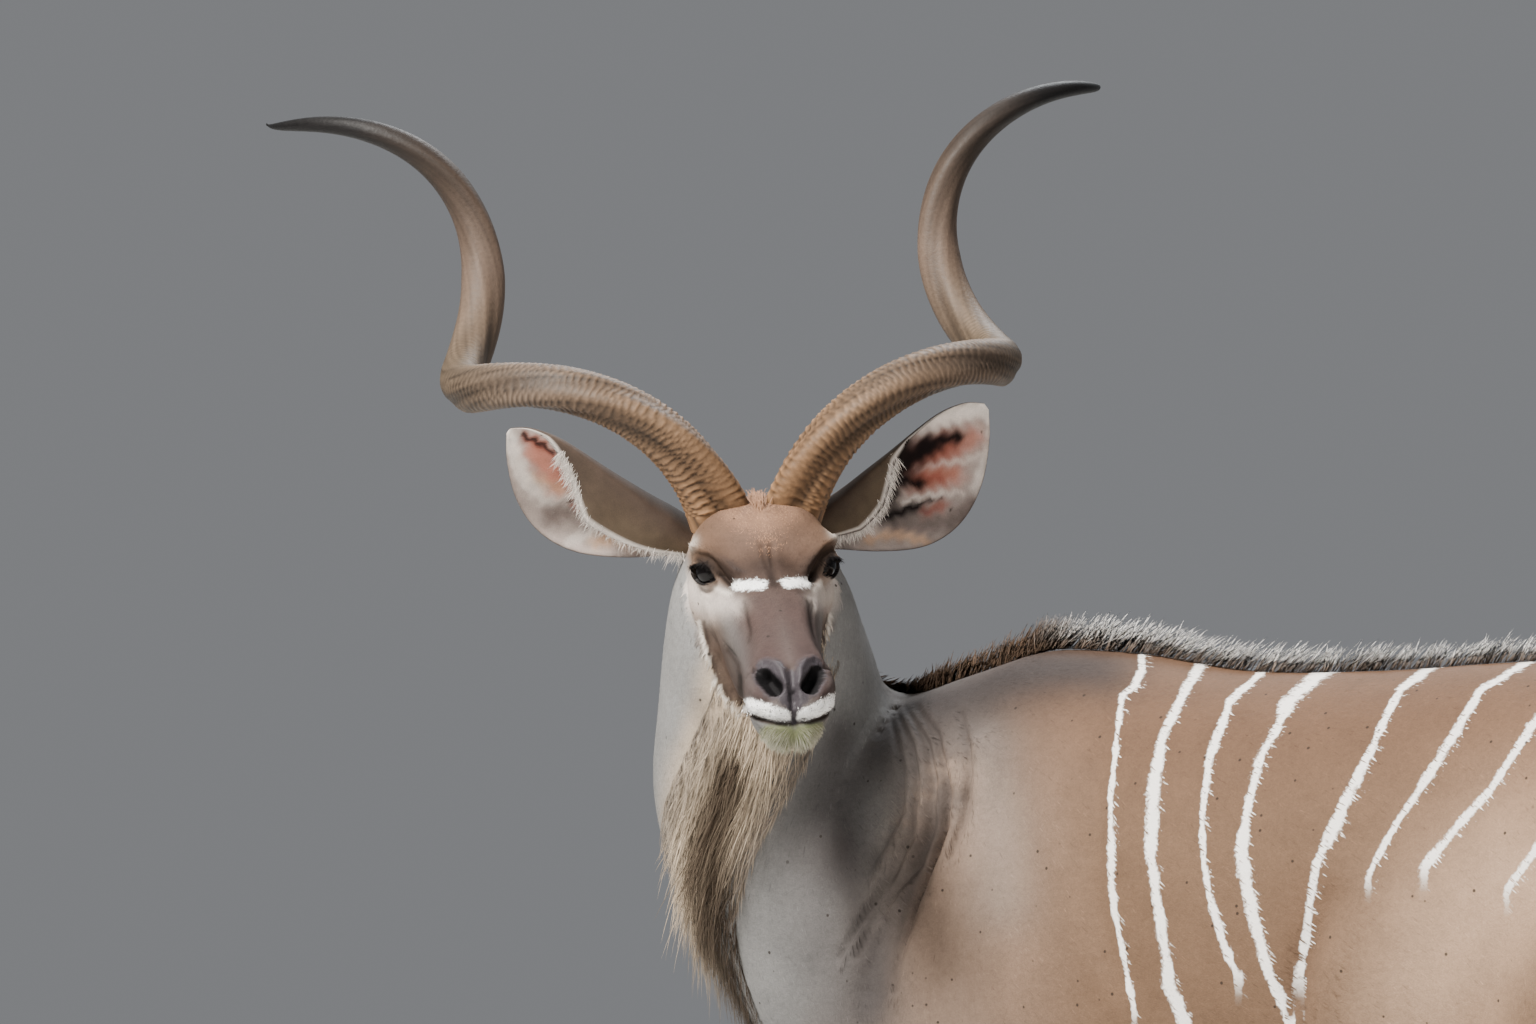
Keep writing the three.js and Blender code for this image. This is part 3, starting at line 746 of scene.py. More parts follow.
def eyePlace(places):
    # where each place of the head lies as seen from the nearer eye: along, up, out
    x, y, z = head["eye"]
    away = np.stack((places[:, 0] - x, np.abs(places[:, 1]) - y, places[:, 2] - z), 1)
    out = away[:, 0] * math.cos(gazeYaw) + away[:, 1] * math.sin(gazeYaw)
    along = away[:, 0] * math.sin(gazeYaw) - away[:, 1] * math.cos(gazeYaw)
    return along, away[:, 2], out


def lidGap(along, up):
    # how far outside the almond a place is, below zero inside it
    part = np.clip((along - lids["middle"]) / lids["long"], -1.6, 1.6)
    line = lids["slant"] * (along - lids["middle"])
    top = lids["upper"] * (1 - np.abs(part) ** 2.3)
    bottom = -lids["lower"] * (1 - np.abs(part) ** 2)
    return np.maximum(up - line - top, bottom - up + line)


def nearEye(out, least=0):
    return (out > least) & (out < lids["deep"])


def makeLids(mesh):
    points = fromRow(meshPoints(mesh))
    places = toHead(points)
    along, up, out = eyePlace(places)
    across, rise = lids["reach"]
    far = np.sqrt((along / across) ** 2 + (up / rise) ** 2)
    gap = lidGap(along, up)
    near = (far < 1.3) & nearEye(out, 2) & (np.abs(places[:, 1]) > 25)
    radius = head["eyeRadius"]
    crease = 1.5 * np.exp(-((gap - 7) / 1.8) ** 2) * smooth(up, -2, 4)
    shell = radius + lids["edge"] + 1.1 * np.exp(-((gap - 2.6) / 2.2) ** 2) - crease
    flatter = (0.72 * along) ** 2 + up ** 2
    lid = np.sqrt(np.maximum(shell ** 2 - flatter, 9))
    inner = np.sqrt(np.maximum((radius - 4) ** 2 - along ** 2 - up ** 2, 4)) - 3
    hold = 1 - smooth(far, 0.6, 1.25)
    target = np.where(gap < 0, inner, out + (lid - out) * hold)
    shift = np.where(near, target - out, 0)
    places[:, 0] += shift * math.cos(gazeYaw)
    places[:, 1] += shift * math.sin(gazeYaw) * np.sign(places[:, 1])
    setPoints(mesh, toRow(onHead(places)))


makeLids(skin.data)
for face in skin.data.polygons:
    face.use_smooth = True
print("skin carved")

# Colours of the coat (linear), by part of the animal
coatColors = {
    "haunch": (0.265, 0.163, 0.104),
    "flank": (0.128, 0.077, 0.047),
    "shoulder": (0.210, 0.145, 0.108),
    "neck": (0.195, 0.192, 0.187),
    # this colour and the next are painted shade: the shade and shadow on the neck, and the shade in its
    # folds
    "neck shade": (0.052, 0.046, 0.045),
    "fold": (0.020, 0.016, 0.015),
    # the withers' greyer colour, with a painted shadow over it
    "withers": (0.027, 0.022, 0.021),
    "back": (0.105, 0.058, 0.035),
    # the pale belly colour, also laid on the haunch as painted light
    "belly and painted light": (0.52, 0.36, 0.25),
    "throat": (0.44, 0.345, 0.25),
    "leg": (0.32, 0.175, 0.085),
    "inner leg": (0.46, 0.32, 0.205),
    "foot": (0.10, 0.058, 0.034),
    "tail": (0.22, 0.135, 0.082),
    "tail under": (0.74, 0.70, 0.64),
    "tail tip": (0.028, 0.018, 0.012),
    "brow": (0.100, 0.062, 0.045),
    "forehead": (0.27, 0.150, 0.092),
    "bridge": (0.050, 0.030, 0.026),
    "cheek": (0.56, 0.49, 0.44),
    "lower cheek": (0.070, 0.046, 0.035),
    "muzzle": (0.042, 0.025, 0.023),
    "nose": (0.046, 0.040, 0.045),
    "white": (0.93, 0.92, 0.90),
    "chin": (0.155, 0.17, 0.085),
    # dark marks of the face, and painted shade in its creases and grooves and under the brow
    "dark line": (0.012, 0.007, 0.005),
    "pale line": (0.66, 0.60, 0.53),
    "eye rim": (0.008, 0.006, 0.006),
}

# Marks of the face, drawn in the picture on the viewer's left half: colour, reach, how sharp,
# how strong, line of places. Later ones lie over earlier ones
faceMarks = [
    ("brow", 60, 2, 1.0, [(760, 540)]),
    ("bridge", 42, 2, 0.9, [(765, 620), (770, 650)]),
    ("forehead", 17, 2, 0.75, [(770, 490), (768, 516)]),
    ("forehead", 10, 2, 0.4, [(745, 522), (730, 516)]),
    ("cheek", 15, 2, 0.9, [(692, 588), (700, 602), (712, 604)]),
    ("cheek", 10, 2, 0.45, [(726, 602), (736, 606)]),
    ("cheek", 8, 2, 0.35, [(706, 622), (714, 640)]),
    ("lower cheek", 17, 3, 0.9, [(712, 640), (722, 668), (732, 690)]),
    ("muzzle", 24, 2, 0.9, [(768, 668), (760, 694)]),
    ("pale line", 7, 2, 0.6, [(684, 548), (690, 541)]),
    # painted shadow under the brow and in the tear groove
    ("dark line", 5, 2, 0.5, [(698, 556), (712, 560), (726, 568), (734, 576)]),
    ("dark line", 10, 2, 0.6, [(712, 558), (728, 566), (740, 574)]),
    ("dark line", 4.2, 2, 1.0, [(699, 561), (712, 567), (722, 576), (733, 587)]),
    ("dark line", 15, 2, 0.68, [(758, 566), (772, 562)]),
    # painted shade in the forehead furrow
    ("dark line", 5, 2, 0.85, [(772, 548), (773, 584)]),
    ("pale line", 2.6, 2, 0.6, [(715, 588), (722, 592), (730, 594)]),
    # painted shade in the groove of the cheek vein
    ("dark line", 2.2, 2, 0.5, [(744, 602), (748, 616), (750, 632), (749, 642)]),
    # pale and dark lines of the two wrinkles; the dark ones are painted shade in them
    ("pale line", 2.4, 2, 0.5, [(664, 500), (661, 530), (664, 566)]),
    ("dark line", 1.8, 2, 0.5, wrinkles[0]),
    ("pale line", 2.4, 2, 0.5, [(673, 500), (670, 530), (673, 566)]),
    ("dark line", 1.8, 2, 0.5, wrinkles[1]),
    # painted shade in the muzzle crease and the cheek hollow
    ("dark line", 3.2, 2, 0.75, [(728, 650), (738, 664), (741, 680), (741, 694), (744, 706)]),
    ("dark line", 16, 2, 0.35, [(716, 660), (728, 690)]),
    ("pale line", 2.0, 3, 0.8, [(699, 622), (705, 650), (713, 680), (727, 703), (741, 717)]),
    ("dark line", 2.2, 2, 0.6, [(704, 622), (710, 652), (719, 682), (732, 702)]),
    ("white", 5.0, 8, 1.0, [(737, 586), (762, 584.5)]),
    ("chin", 13, 6, 1.0, [(786, 737), (772, 737)]),
    ("white", 7.4, 8, 1.0, upperLip),
    # painted shade in the mouth's slit
    ("dark line", 3.0, 3, 1.0, [(793, 723), (778, 723.5), (762, 720.5), (749, 714), (742, 705)]),
    ("nose", 9, 8, 1.0, [(765, 667), (776, 669), (784, 682), (786, 698)]),
    ("nose", 7, 8, 1.0, [(792, 676), (792, 706)]),
    ("nose", 11.5, 8, 1.0, nostrilLine),
    ("nose", 2.4, 4, 1.0, [(792, 700), (793, 722)]),
]

# The stripes of the near side, drawn in the picture from the back down. They go on past its edge
stripeLines = [
    [(1142, 640), (1142, 670), (1134, 687), (1122, 696), (1117, 740), (1111, 797), (1111, 874), (1115, 912),
     (1135, 1010)],
    [(1207, 645), (1205, 657), (1185, 690), (1161, 740), (1153, 794), (1150, 850), (1157, 903), (1170, 985),
     (1182, 1014), (1194, 1060)],
    [(1280, 650), (1270, 665), (1230, 700), (1209, 760), (1202, 817), (1204, 862), (1212, 905), (1225, 946),
     (1239, 976)],
    [(1352, 640), (1345, 652), (1290, 700), (1259, 760), (1246, 805), (1241, 851), (1246, 887), (1257, 933),
     (1269, 976), (1289, 1012), (1305, 1050)],
    [(1462, 630), (1455, 650), (1400, 690), (1366, 760), (1348, 796), (1330, 837), (1316, 864), (1311, 896),
     (1306, 933), (1298, 978)],
    [(1556, 640), (1536, 657), (1480, 690), (1439, 760), (1416, 794), (1393, 828), (1368, 876)],
    [(1640, 655), (1590, 680), (1536, 720), (1509, 760), (1489, 792), (1461, 821), (1423, 869)],
    [(1710, 665), (1650, 705), (1600, 760), (1566, 810), (1530, 858), (1506, 890)],
    [(1775, 690), (1722, 740), (1680, 790), (1650, 840), (1628, 880)],
]
stripeSettings = {
    "rise": 30,
    "fade": 26,
    "hold": 10,
    "outerGap": 70,  # from the first and the last stripe to where their ground ends
    "narrowing": [1.35, 0.82, 1.25, 0.8, 0.95, 1.1, 1.05, 1.15, 1.25],
}


def stripeField(points, onTorso):
    # phase (whole numbers on the stripes), gap between stripes (in the picture) and strength
    across, down = mirroredPicture(points, points[:, 1] < 0).T
    lines = [np.array(line, float) for line in stripeLines]
    rows = [np.interp(down, line[:, 1], line[:, 0]) for line in lines]
    rows = np.array([rows[0] - stripeSettings["outerGap"], *rows, rows[-1] + stripeSettings["outerGap"]])
    phase = np.zeros(len(points))
    gaps = np.full(len(points), 60.0)
    for number in range(len(rows) - 1):
        gap = np.maximum(rows[number + 1] - rows[number], 8)
        inside = (across >= rows[number]) & (across < rows[number + 1])
        phase = np.where(inside, number + (across - rows[number]) / gap, phase)
        gaps = np.where(inside, gap, gaps)
    phase = np.where(across >= rows[-1], len(rows) - 1, phase)
    nearest = np.clip(np.rint(phase).astype(int), 0, len(rows) - 1)
    strength = np.zeros(len(points))
    for number, line in enumerate(lines, start=1):
        top, end = line[0, 1], line[-1, 1]
        shown = smooth(down, top - stripeSettings["rise"], top)
        shown = shown * smooth(-down, -end - stripeSettings["fade"], -end + stripeSettings["hold"])
        step = np.interp(down + 4, line[:, 1], line[:, 0]) - np.interp(down - 4, line[:, 1], line[:, 0])
        slant = 1 / np.sqrt(1 + (step / 8) ** 2)
        mine = nearest == number
        strength = np.where(mine, shown, strength)
        narrow = stripeSettings["narrowing"][number - 1] * (1 + 0.2 * np.sin(down / 31 + 2 * number))
        gaps = np.where(mine, gaps * slant * narrow, gaps)
    return np.stack((phase, gaps, strength * onTorso), 1)


# Marks of the neck and body, drawn in the picture: colour, reach, how sharp, how strong, line
bodyMarks = [
    # painted shade: the head's shadow on the neck, and the shade on the breast below it
    ("neck shade", 33, 2, 0.85, [(838, 740), (834, 810), (846, 850)]),
    ("neck shade", 62, 2, 0.75, [(800, 850), (820, 930), (845, 1020)]),
    # painted shade in and beside the folds of the neck and breast
    ("fold", 22, 2, 0.4, [(812, 780), (802, 810), (815, 850)]),
    ("fold", 25, 2, 0.75, [(836, 850), (856, 900), (867, 950), (872, 1000)]),
    # painted shade on the neck under the jaw
    ("neck shade", 10, 2, 0.5, [(700, 700), (712, 730), (735, 748)]),
    # painted shade in the breast fold
    ("neck shade", 18, 2, 0.6, [(950, 800), (925, 850), (880, 950), (866, 1030)]),
    # the withers' greyer colour, with the neck's painted shadow on them
    ("withers", 28, 2, 0.95, [(940, 700), (1000, 680), (1060, 668), (1110, 672)]),
    ("neck", 34, 2, 0.25, [(985, 750), (1000, 830), (1000, 900)]),
    # painted light: a lit patch on the haunch's front edge, in the belly colour
    ("belly and painted light", 75, 2, 0.45, [(1520, 880), (1450, 950), (1420, 1020)]),
    # painted shade in the flank fold, in the back's colour
    ("back", 16, 2, 0.6, [(1318, 880), (1300, 960), (1300, 1010)]),
]


def toward(tone, color, weight):
    return tone + (np.array(color) - tone) * weight


def blend(base, name, weight):
    return toward(base, coatColors[name], np.asarray(weight)[:, None])


def evenTone(color, count):
    return np.tile(color, (count, 1)).astype(float)


def inFolds(points, flat):
    # 1 at the bottom of a fold of the neck
    deepest = np.zeros(len(points))
    for name, (rise, reach, line) in bodyStrokes.items():
        if name.endswith("neck fold"):
            gap, along = toLine(flat, line)
            depth = tapered(along, 0.04) * np.exp(-(gap / (reach * 0.8)) ** 2) * min(1, -rise / 10)
            deepest = np.maximum(deepest, depth)
    return deepest


def bodyTone(points, normals, guides):
    t, angle = guideWays[guides].T
    region = guideRegions[guides]
    up = np.cos(angle)
    tone = evenTone(coatColors["haunch"], len(points))
    tone = blend(tone, "flank", smooth(t, 0.12, 0.3))
    tone = blend(tone, "shoulder", smooth(t, 0.36, 0.5))
    neck = smooth(t, 0.47, 0.59)
    tone = blend(tone, "neck", neck)
    tone = blend(tone, "back", smooth(up, 0.3, 0.95) * (0.85 - 0.5 * neck))
    tone = blend(tone, "belly and painted light", smooth(-up, 0.35, 0.9) * (1 - neck))
    # the withers greyer, darkened further as painted shade
    tone = blend(tone, "withers", smooth(up, 0.2, 0.8) * smooth(t, 0.4, 0.5) * smooth(-t, -0.78, -0.6) * 0.8)
    tone = blend(tone, "throat", smooth(-up, 0.8, 0.98) * smooth(t, 0.66, 0.8))
    z = points[:, 2]
    leg = evenTone(coatColors["flank"], len(points))
    leg = blend(leg, "shoulder", (points[:, 0] < 300) * smooth(z, 800, 1000))
    leg = blend(leg, "neck", smooth(-points[:, 0], 60, 220) * smooth(z, 850, 1050))
    leg = blend(leg, "leg", smooth(-z, -960, -700))
    inward = smooth(-normals[:, 1] * np.sign(points[:, 1]), 0.1, 0.7)
    leg = blend(leg, "inner leg", inward * smooth(z, 420, 620) * smooth(-z, -1000, -860))
    leg = blend(leg, "foot", 0.75 * smooth(-z, -150, -90) * smooth(-normals[:, 0], -0.5, 0.6))
    tone = np.where((region >= 3)[:, None], leg, tone)
    near = (points[:, 1] < 0) | (points[:, 0] < neckStart)
    flat = mirroredPicture(points, near)
    shown = smooth(np.where(near[:, None], normals, normals * mirror) @ backward, 0, 0.3)
    for name, reach, power, strength, line in bodyMarks:
        tone = blend(tone, name, strength * shown * np.exp(-(toLine(flat, line)[0] / reach) ** power))
    # painted shade at the bottom of the neck folds
    tone = blend(tone, "fold", 0.8 * shown * inFolds(points, flat))
    tail = evenTone(coatColors["tail"], len(points))
    tail = blend(tail, "tail under", smooth(-normals[:, 0], -0.1, 0.5))
    tail = blend(tail, "tail tip", smooth(-z, -900, -850))
    return np.where((region == 2)[:, None], tail, tone)


def onFaceHalf(places):
    # the picture place of every point of the head, with its left half folded over the right one
    half = swing(places[:, 0])
    folded = np.stack((places[:, 0], half - np.abs(places[:, 1] - half), places[:, 2]), 1)
    return inPicture(onHead(folded))


def headTone(base, places, normals):
    flat = onFaceHalf(places)
    tone = base.copy()
    facing = smooth(normals[:, 0] + 0.9 * normals[:, 2] + 0.35, -0.35, 0.25)
    face = smooth(places[:, 0], 20, 70) * facing
    rough = rng.normal(0, 0.75, len(places))
    for name, reach, power, strength, line in faceMarks:
        gap, _ = toLine(flat, line)
        ragged = np.maximum(gap + (rough if power > 4 else 0), 0)
        tone = blend(tone, name, strength * face * np.exp(-(ragged / reach) ** power))
    along, up, out = eyePlace(places)
    gap = lidGap(along, up)
    tone = blend(tone, "eye rim", nearEye(out) * smooth(-gap, -3.4, -1.2))
    gape, _ = toLine(flat, nostrilLine)
    wetParts = [toLine(flat, mark[-1])[0] < mark[1] * 0.9 for mark in faceMarks if mark[0] == "nose"]
    wet = np.any(wetParts, axis=0) * face
    # painted shade: the inside of the nostrils darkened to near black
    tone = tone * np.where((gape < 9) & (face > 0.5), 0.12, 1)[:, None]
    wet = wet * smooth(gape, 7, 10)
    wet = np.maximum(wet, nearEye(out) * smooth(-gap, -2.4, -1.0))
    return tone, wet


def setAttribute(mesh, name, kind, values):
    field = {"FLOAT_COLOR": "color", "FLOAT_VECTOR": "vector", "FLOAT": "value"}[kind]
    layer = mesh.attributes.new(name, kind, "POINT")
    layer.data.foreach_set(field, np.ascontiguousarray(values, np.float32).ravel())


def setTone(mesh, rows):
    colors = np.concatenate((np.clip(rows, 0, 1), np.ones((len(rows), 1))), 1)
    setAttribute(mesh, "tone", "FLOAT_COLOR", colors)


skinPoints = fromRow(meshPoints(skin.data))
skinNormals = meshNormals(skin.data)
skinEdges = meshEdges(skin.data)
skinGuides = nearestGuide(skinPoints)
skinPlaces = toHead(skinPoints)
skinRegions = guideRegions[skinGuides]
flatLies = guideLies[skinGuides]
onSide = ((skinRegions == 0) & (skinPoints[:, 0] > -260)) * np.abs(skinNormals[:, 1])
flatLies = flatLies + np.array((0, 0, -0.75)) * onSide[:, None]
skinLies = unit(relax(unit(flattened(flatLies, skinNormals)), skinEdges, 14))
skinTone = bodyTone(skinPoints, skinNormals, skinGuides)
skinTone = relax(skinTone, skinEdges, 10)
onHeadShare = relax((skinRegions == 1).astype(float)[:, None], skinEdges, 12)[:, 0]
headOnly, skinWet = headTone(skinTone, skinPlaces, skinNormals @ headAxes)
nearHead = onHeadShare > 0.02
mostlyHead = onHeadShare > 0.5
skinTone = np.where(nearHead[:, None], headOnly, skinTone)
skinWet = skinWet * nearHead
torsoShare = ((skinRegions == 0) | (skinPoints[:, 2] > 840)) & (skinPoints[:, 0] > -20)
skinStripe = stripeField(skinPoints, torsoShare.astype(float))
setTone(skin.data, skinTone)
setAttribute(skin.data, "stripe", "FLOAT_VECTOR", skinStripe)
setAttribute(skin.data, "wet", "FLOAT", skinWet)


def mapSkin(mesh):
    # the unwrap by form: corners of a face that crosses a seam gather at its first corner
    corners = fetch(mesh.loops, "vertex_index", 1, np.int32)[:, 0]
    starts = fetch(mesh.polygons, "loop_start", 1, np.int32)[:, 0]
    sizes = np.diff(np.append(starts, len(corners)))
    places = guideMaps[skinGuides][corners]
    first = np.repeat(places[starts], sizes, axis=0)
    far = np.max(np.abs(places - first), axis=1) > 0.03
    places[far] = first[far]
    layer = mesh.uv_layers.new(name="OFBake")
    layer.data.foreach_set("uv", places.astype(np.float32).ravel())


mapSkin(skin.data)
print("skin coloured")


class Value:
    # an output of a shader node, which sums and multiplies as a number does
    def __init__(self, shader, socket):
        self.shader = shader
        self.socket = socket

    def __add__(self, other):
        return self.shader.math("ADD", self, other)

    def __radd__(self, other):
        return self.shader.math("ADD", other, self)

    def __sub__(self, other):
        return self.shader.math("SUBTRACT", self, other)

    def __rsub__(self, other):
        return self.shader.math("SUBTRACT", other, self)

    def __mul__(self, other):
        return self.shader.math("MULTIPLY", self, other)

    def __rmul__(self, other):
        return self.shader.math("MULTIPLY", other, self)


class Shader:
    def __init__(self, name, constants):
        self.material = bpy.data.materials.new(name)
        self.material.use_nodes = True
        self.tree = self.material.node_tree
        self.surface = self.tree.nodes["Principled BSDF"]
        for key, value in constants.items():
            self.surface.inputs[key].default_value = value

    def feed(self, socket, value):
        if isinstance(value, Value):
            self.tree.links.new(value.socket, socket)
        else:
            socket.default_value = value

    def node(self, kind, settings, inputs, output=0):
        node = self.tree.nodes.new(kind)
        for key, value in settings.items():
            setattr(node, key, value)
        for key, value in inputs.items():
            self.feed(node.inputs[key], value)
        return Value(self, node.outputs[output])

    def math(self, operation, *values):
        return self.node("ShaderNodeMath", {"operation": operation}, dict(enumerate(values)))

    def scale(self, color, factor):
        inputs = {"Vector": color, "Scale": factor}
        return self.node("ShaderNodeVectorMath", {"operation": "SCALE"}, inputs)

    def mix(self, factor, low, high):
        return self.node(
            "ShaderNodeMix", {"data_type": "RGBA"}, {0: factor, 6: low, 7: high}, output=2)

    def step(self, value, low, high):
        settings = {"interpolation_type": "SMOOTHSTEP"}
        inputs = {"Value": value, "From Min": low, "From Max": high}
        return self.node("ShaderNodeMapRange", settings, inputs)

    def attribute(self, name, output="Color"):
        return self.node("ShaderNodeAttribute", {"attribute_name": name}, {}, output)

    def place(self):
        return self.node("ShaderNodeTexCoord", {}, {}, "Object")

    def noise(self, scale, detail):
        inputs = {"Vector": self.place(), "Scale": scale, "Detail": detail}
        return self.node("ShaderNodeTexNoise", {}, inputs)

    def cells(self, scale, output="Distance"):
        return self.node("ShaderNodeTexVoronoi", {}, {"Vector": self.place(), "Scale": scale}, output)

    def grain(self, start, rows):
        # noises on top of one another: scale, detail, share
        for scale, detail, share in rows:
            start = start + share * self.noise(scale, detail)
        return start

    def bump(self, height, strength, distance):
        inputs = {"Height": height, "Strength": strength, "Distance": distance}
        self.set("Normal", self.node("ShaderNodeBump", {}, inputs))

    def set(self, name, value):
        self.feed(self.surface.inputs[name], value)


coat = {
    "stripe": (0.88, 0.84, 0.79, 1),
    "stripeHalf": (5.4, 2.4),  # in the picture: where a stripe ends, where it is full
    "stripeEdge": [(46.0, 3.0, 7.0), (300.0, 2.0, 5.0)],
    "grain": [(520.0, 5.0, 0.52), (140.0, 2.0, 0.3), (22.0, 3.0, 0.34)],
    "grainStart": 0.42,
    "speck": (0.018, 0.014, 0.011, 1),
    "speckCells": 64.0,
    "speckSize": (0.15, 0.08),  # where a speck ends, where it is full
    "speckChance": (0.68, 0.72),
    "speckStrength": 0.85,
    "specular": 0.12,
    "roughness": 0.74,
    "wetRoughness": 0.34,
    "relief": [(1100.0, 2.0, 1.0), (180.0, 2.0, 1.5)],
    "poreCells": 520.0,
    "poreHeight": 0.5,
    "bumpDistance": 0.001,
}


def coatMaterial(name, bumpStrength):
    # skin and tufts share the colours, stripes and specks
    shader = Shader(name, {"Specular IOR Level": coat["specular"]})
    tone = shader.attribute("tone")
    phase = shader.node("ShaderNodeSeparateXYZ", {}, {"Vector": shader.attribute("stripe", "Vector")})
    gap, strength = (Value(shader, phase.socket.node.outputs[letter]) for letter in "YZ")
    off = shader.math("ABSOLUTE", phase - shader.math("ROUND", phase)) * gap
    middle = sum(share for _, _, share in coat["stripeEdge"]) / 2
    wobble = shader.grain(-middle, coat["stripeEdge"])
    end, full = coat["stripeHalf"]
    mask = (1.0 - shader.step(off + wobble, full, end)) * strength
    color = shader.scale(tone, shader.grain(coat["grainStart"], coat["grain"]))
    color = shader.mix(mask, color, coat["stripe"])
    where = shader.cells(coat["speckCells"])
    dice = shader.node("ShaderNodeSeparateColor", {}, {"Color": shader.cells(coat["speckCells"], "Color")})
    end, full = coat["speckSize"]
    speck = (1.0 - shader.step(where, full, end)) * shader.step(dice, *coat["speckChance"])
    color = shader.mix(speck * coat["speckStrength"], color, coat["speck"])
    shader.set("Base Color", color)
    wet = shader.attribute("wet", "Fac")
    shader.set("Roughness", coat["roughness"] - (coat["roughness"] - coat["wetRoughness"]) * wet)
    pores = shader.cells(coat["poreCells"]) * wet
    height = shader.grain(0.0, coat["relief"]) + pores * coat["poreHeight"]
    shader.bump(height, bumpStrength, coat["bumpDistance"])
    return shader.material


skinMaterial = coatMaterial("coat skin", 0.5)
tuftMaterial = coatMaterial("coat tufts", 0.25)
skin.data.materials.append(skinMaterial)

# Horns: an open spiral round an axis that leans back and out from the brow
horn = {
    "root": (32, 44.8, 8.4),
    "lean": 16,
    "splay": 21.3,
    "length": 763,
    "turns": 1.613,
    "startRadius": 103.4,
    "endRadius": 61,
    "closing": 0.085,
    "startAngle": 166,
    "thick": 32,
    "stem": 23,
    "flare": 0.12,
    "tip": 0.42,
    "sunk": 0.015,
    "keelAngle": 65,
    "keel": 0.26,
    "keelHalf": 0.42,
    "furrow": 0.13,
    "furrowAngle": 0.85,  # from the keel, on both its sides
    "furrowHalf": 0.3,
    "rings": 900,
    "crowd": 1.25,  # above 1 the rings stand closer near the root
    "sides": 40,
    "ridges": 150,
    "ridgeHeight": 0.06,
    "tones": [  # share along, colour
        (0, (0.26, 0.142, 0.070)), (0.1, (0.172, 0.106, 0.062)), (0.22, (0.118, 0.083, 0.060)),
        (0.4, (0.108, 0.077, 0.050)), (0.58, (0.096, 0.066, 0.049)), (0.70, (0.032, 0.022, 0.016)),
        (0.82, (0.007, 0.006, 0.006)), (1, (0.004, 0.004, 0.004)),
    ],
}


def hornSpine(s):
    lean, splay = math.radians(horn["lean"]), math.radians(horn["splay"])
    axis = np.array((
        -math.cos(lean) * math.cos(splay), math.sin(splay), math.sin(lean) * math.cos(splay)))
    across = np.array((0, 1, 0)) - axis * axis[1]
    across /= np.linalg.norm(across)
    over = np.cross(axis, across)
    start = math.radians(horn["startAngle"])
    angle = (start + horn["turns"] * math.tau * s)[:, None]
    closed = (1 - np.exp(-s / horn["closing"])) / (1 - math.exp(-1 / horn["closing"]))
    radius = horn["startRadius"] + (horn["endRadius"] - horn["startRadius"]) * closed
    out = across * np.cos(angle) + over * np.sin(angle)
    at = np.array(horn["root"]) + axis * (horn["length"] * s)[:, None] + out * radius[:, None]
    at = at - horn["startRadius"] * (across * math.cos(start) + over * math.sin(start))
    return at, out


def hornThickness(s):
    stem = horn["stem"] + (horn["thick"] - horn["stem"]) * np.exp(-s / horn["flare"])
    tip = np.minimum(1, (np.maximum(1 - s, 0) / horn["tip"]) ** 0.8)
    return np.maximum(stem * tip, 1.5)


def hornShare(t):
    return (1 + horn["sunk"]) * t ** horn["crowd"] - horn["sunk"]


def hornRidges(s, turn, side):
    # wavy ridges across the lower half, from 0 in a groove to 1 on a ridge
    lead = turn - math.radians(horn["keelAngle"]) - 0.4
    lag = 1.5 * np.cos(lead) + 0.75 * np.sin(2 * turn + 13 * s + 1.3 * side)
    lag += 0.5 * np.sin(3 * turn - 29 * s) + 0.32 * np.sin(5 * turn + 61 * s + side)
    lag += 0.2 * np.sin(8 * turn - 97 * s)
    phase = (horn["ridges"] * (1 - (1 - np.clip(s, 0, 1)) ** 1.5) / 1.5 + lag) * math.tau
    fade = smooth(-s, -0.6, -0.2) * (0.62 + 0.38 * np.sin(3 * turn + 31 * s) * np.sin(19 * s + turn))
    return fade * (0.5 + 0.5 * np.sin(phase + 0.7 * np.sin(phase))) ** 1.2


def fromKeel(turn):
    # the angle round the horn from its keel
    return np.mod(turn - math.radians(horn["keelAngle"]) + math.pi, math.tau) - math.pi


def besideKeel(turn):
    # the furrows on both sides of the keel, the second one shallower
    gap = fromKeel(turn)
    deep, shallow = (
        np.exp(-((gap - side * horn["furrowAngle"]) / horn["furrowHalf"]) ** 2) for side in (1, -1))
    return deep + 0.6 * shallow


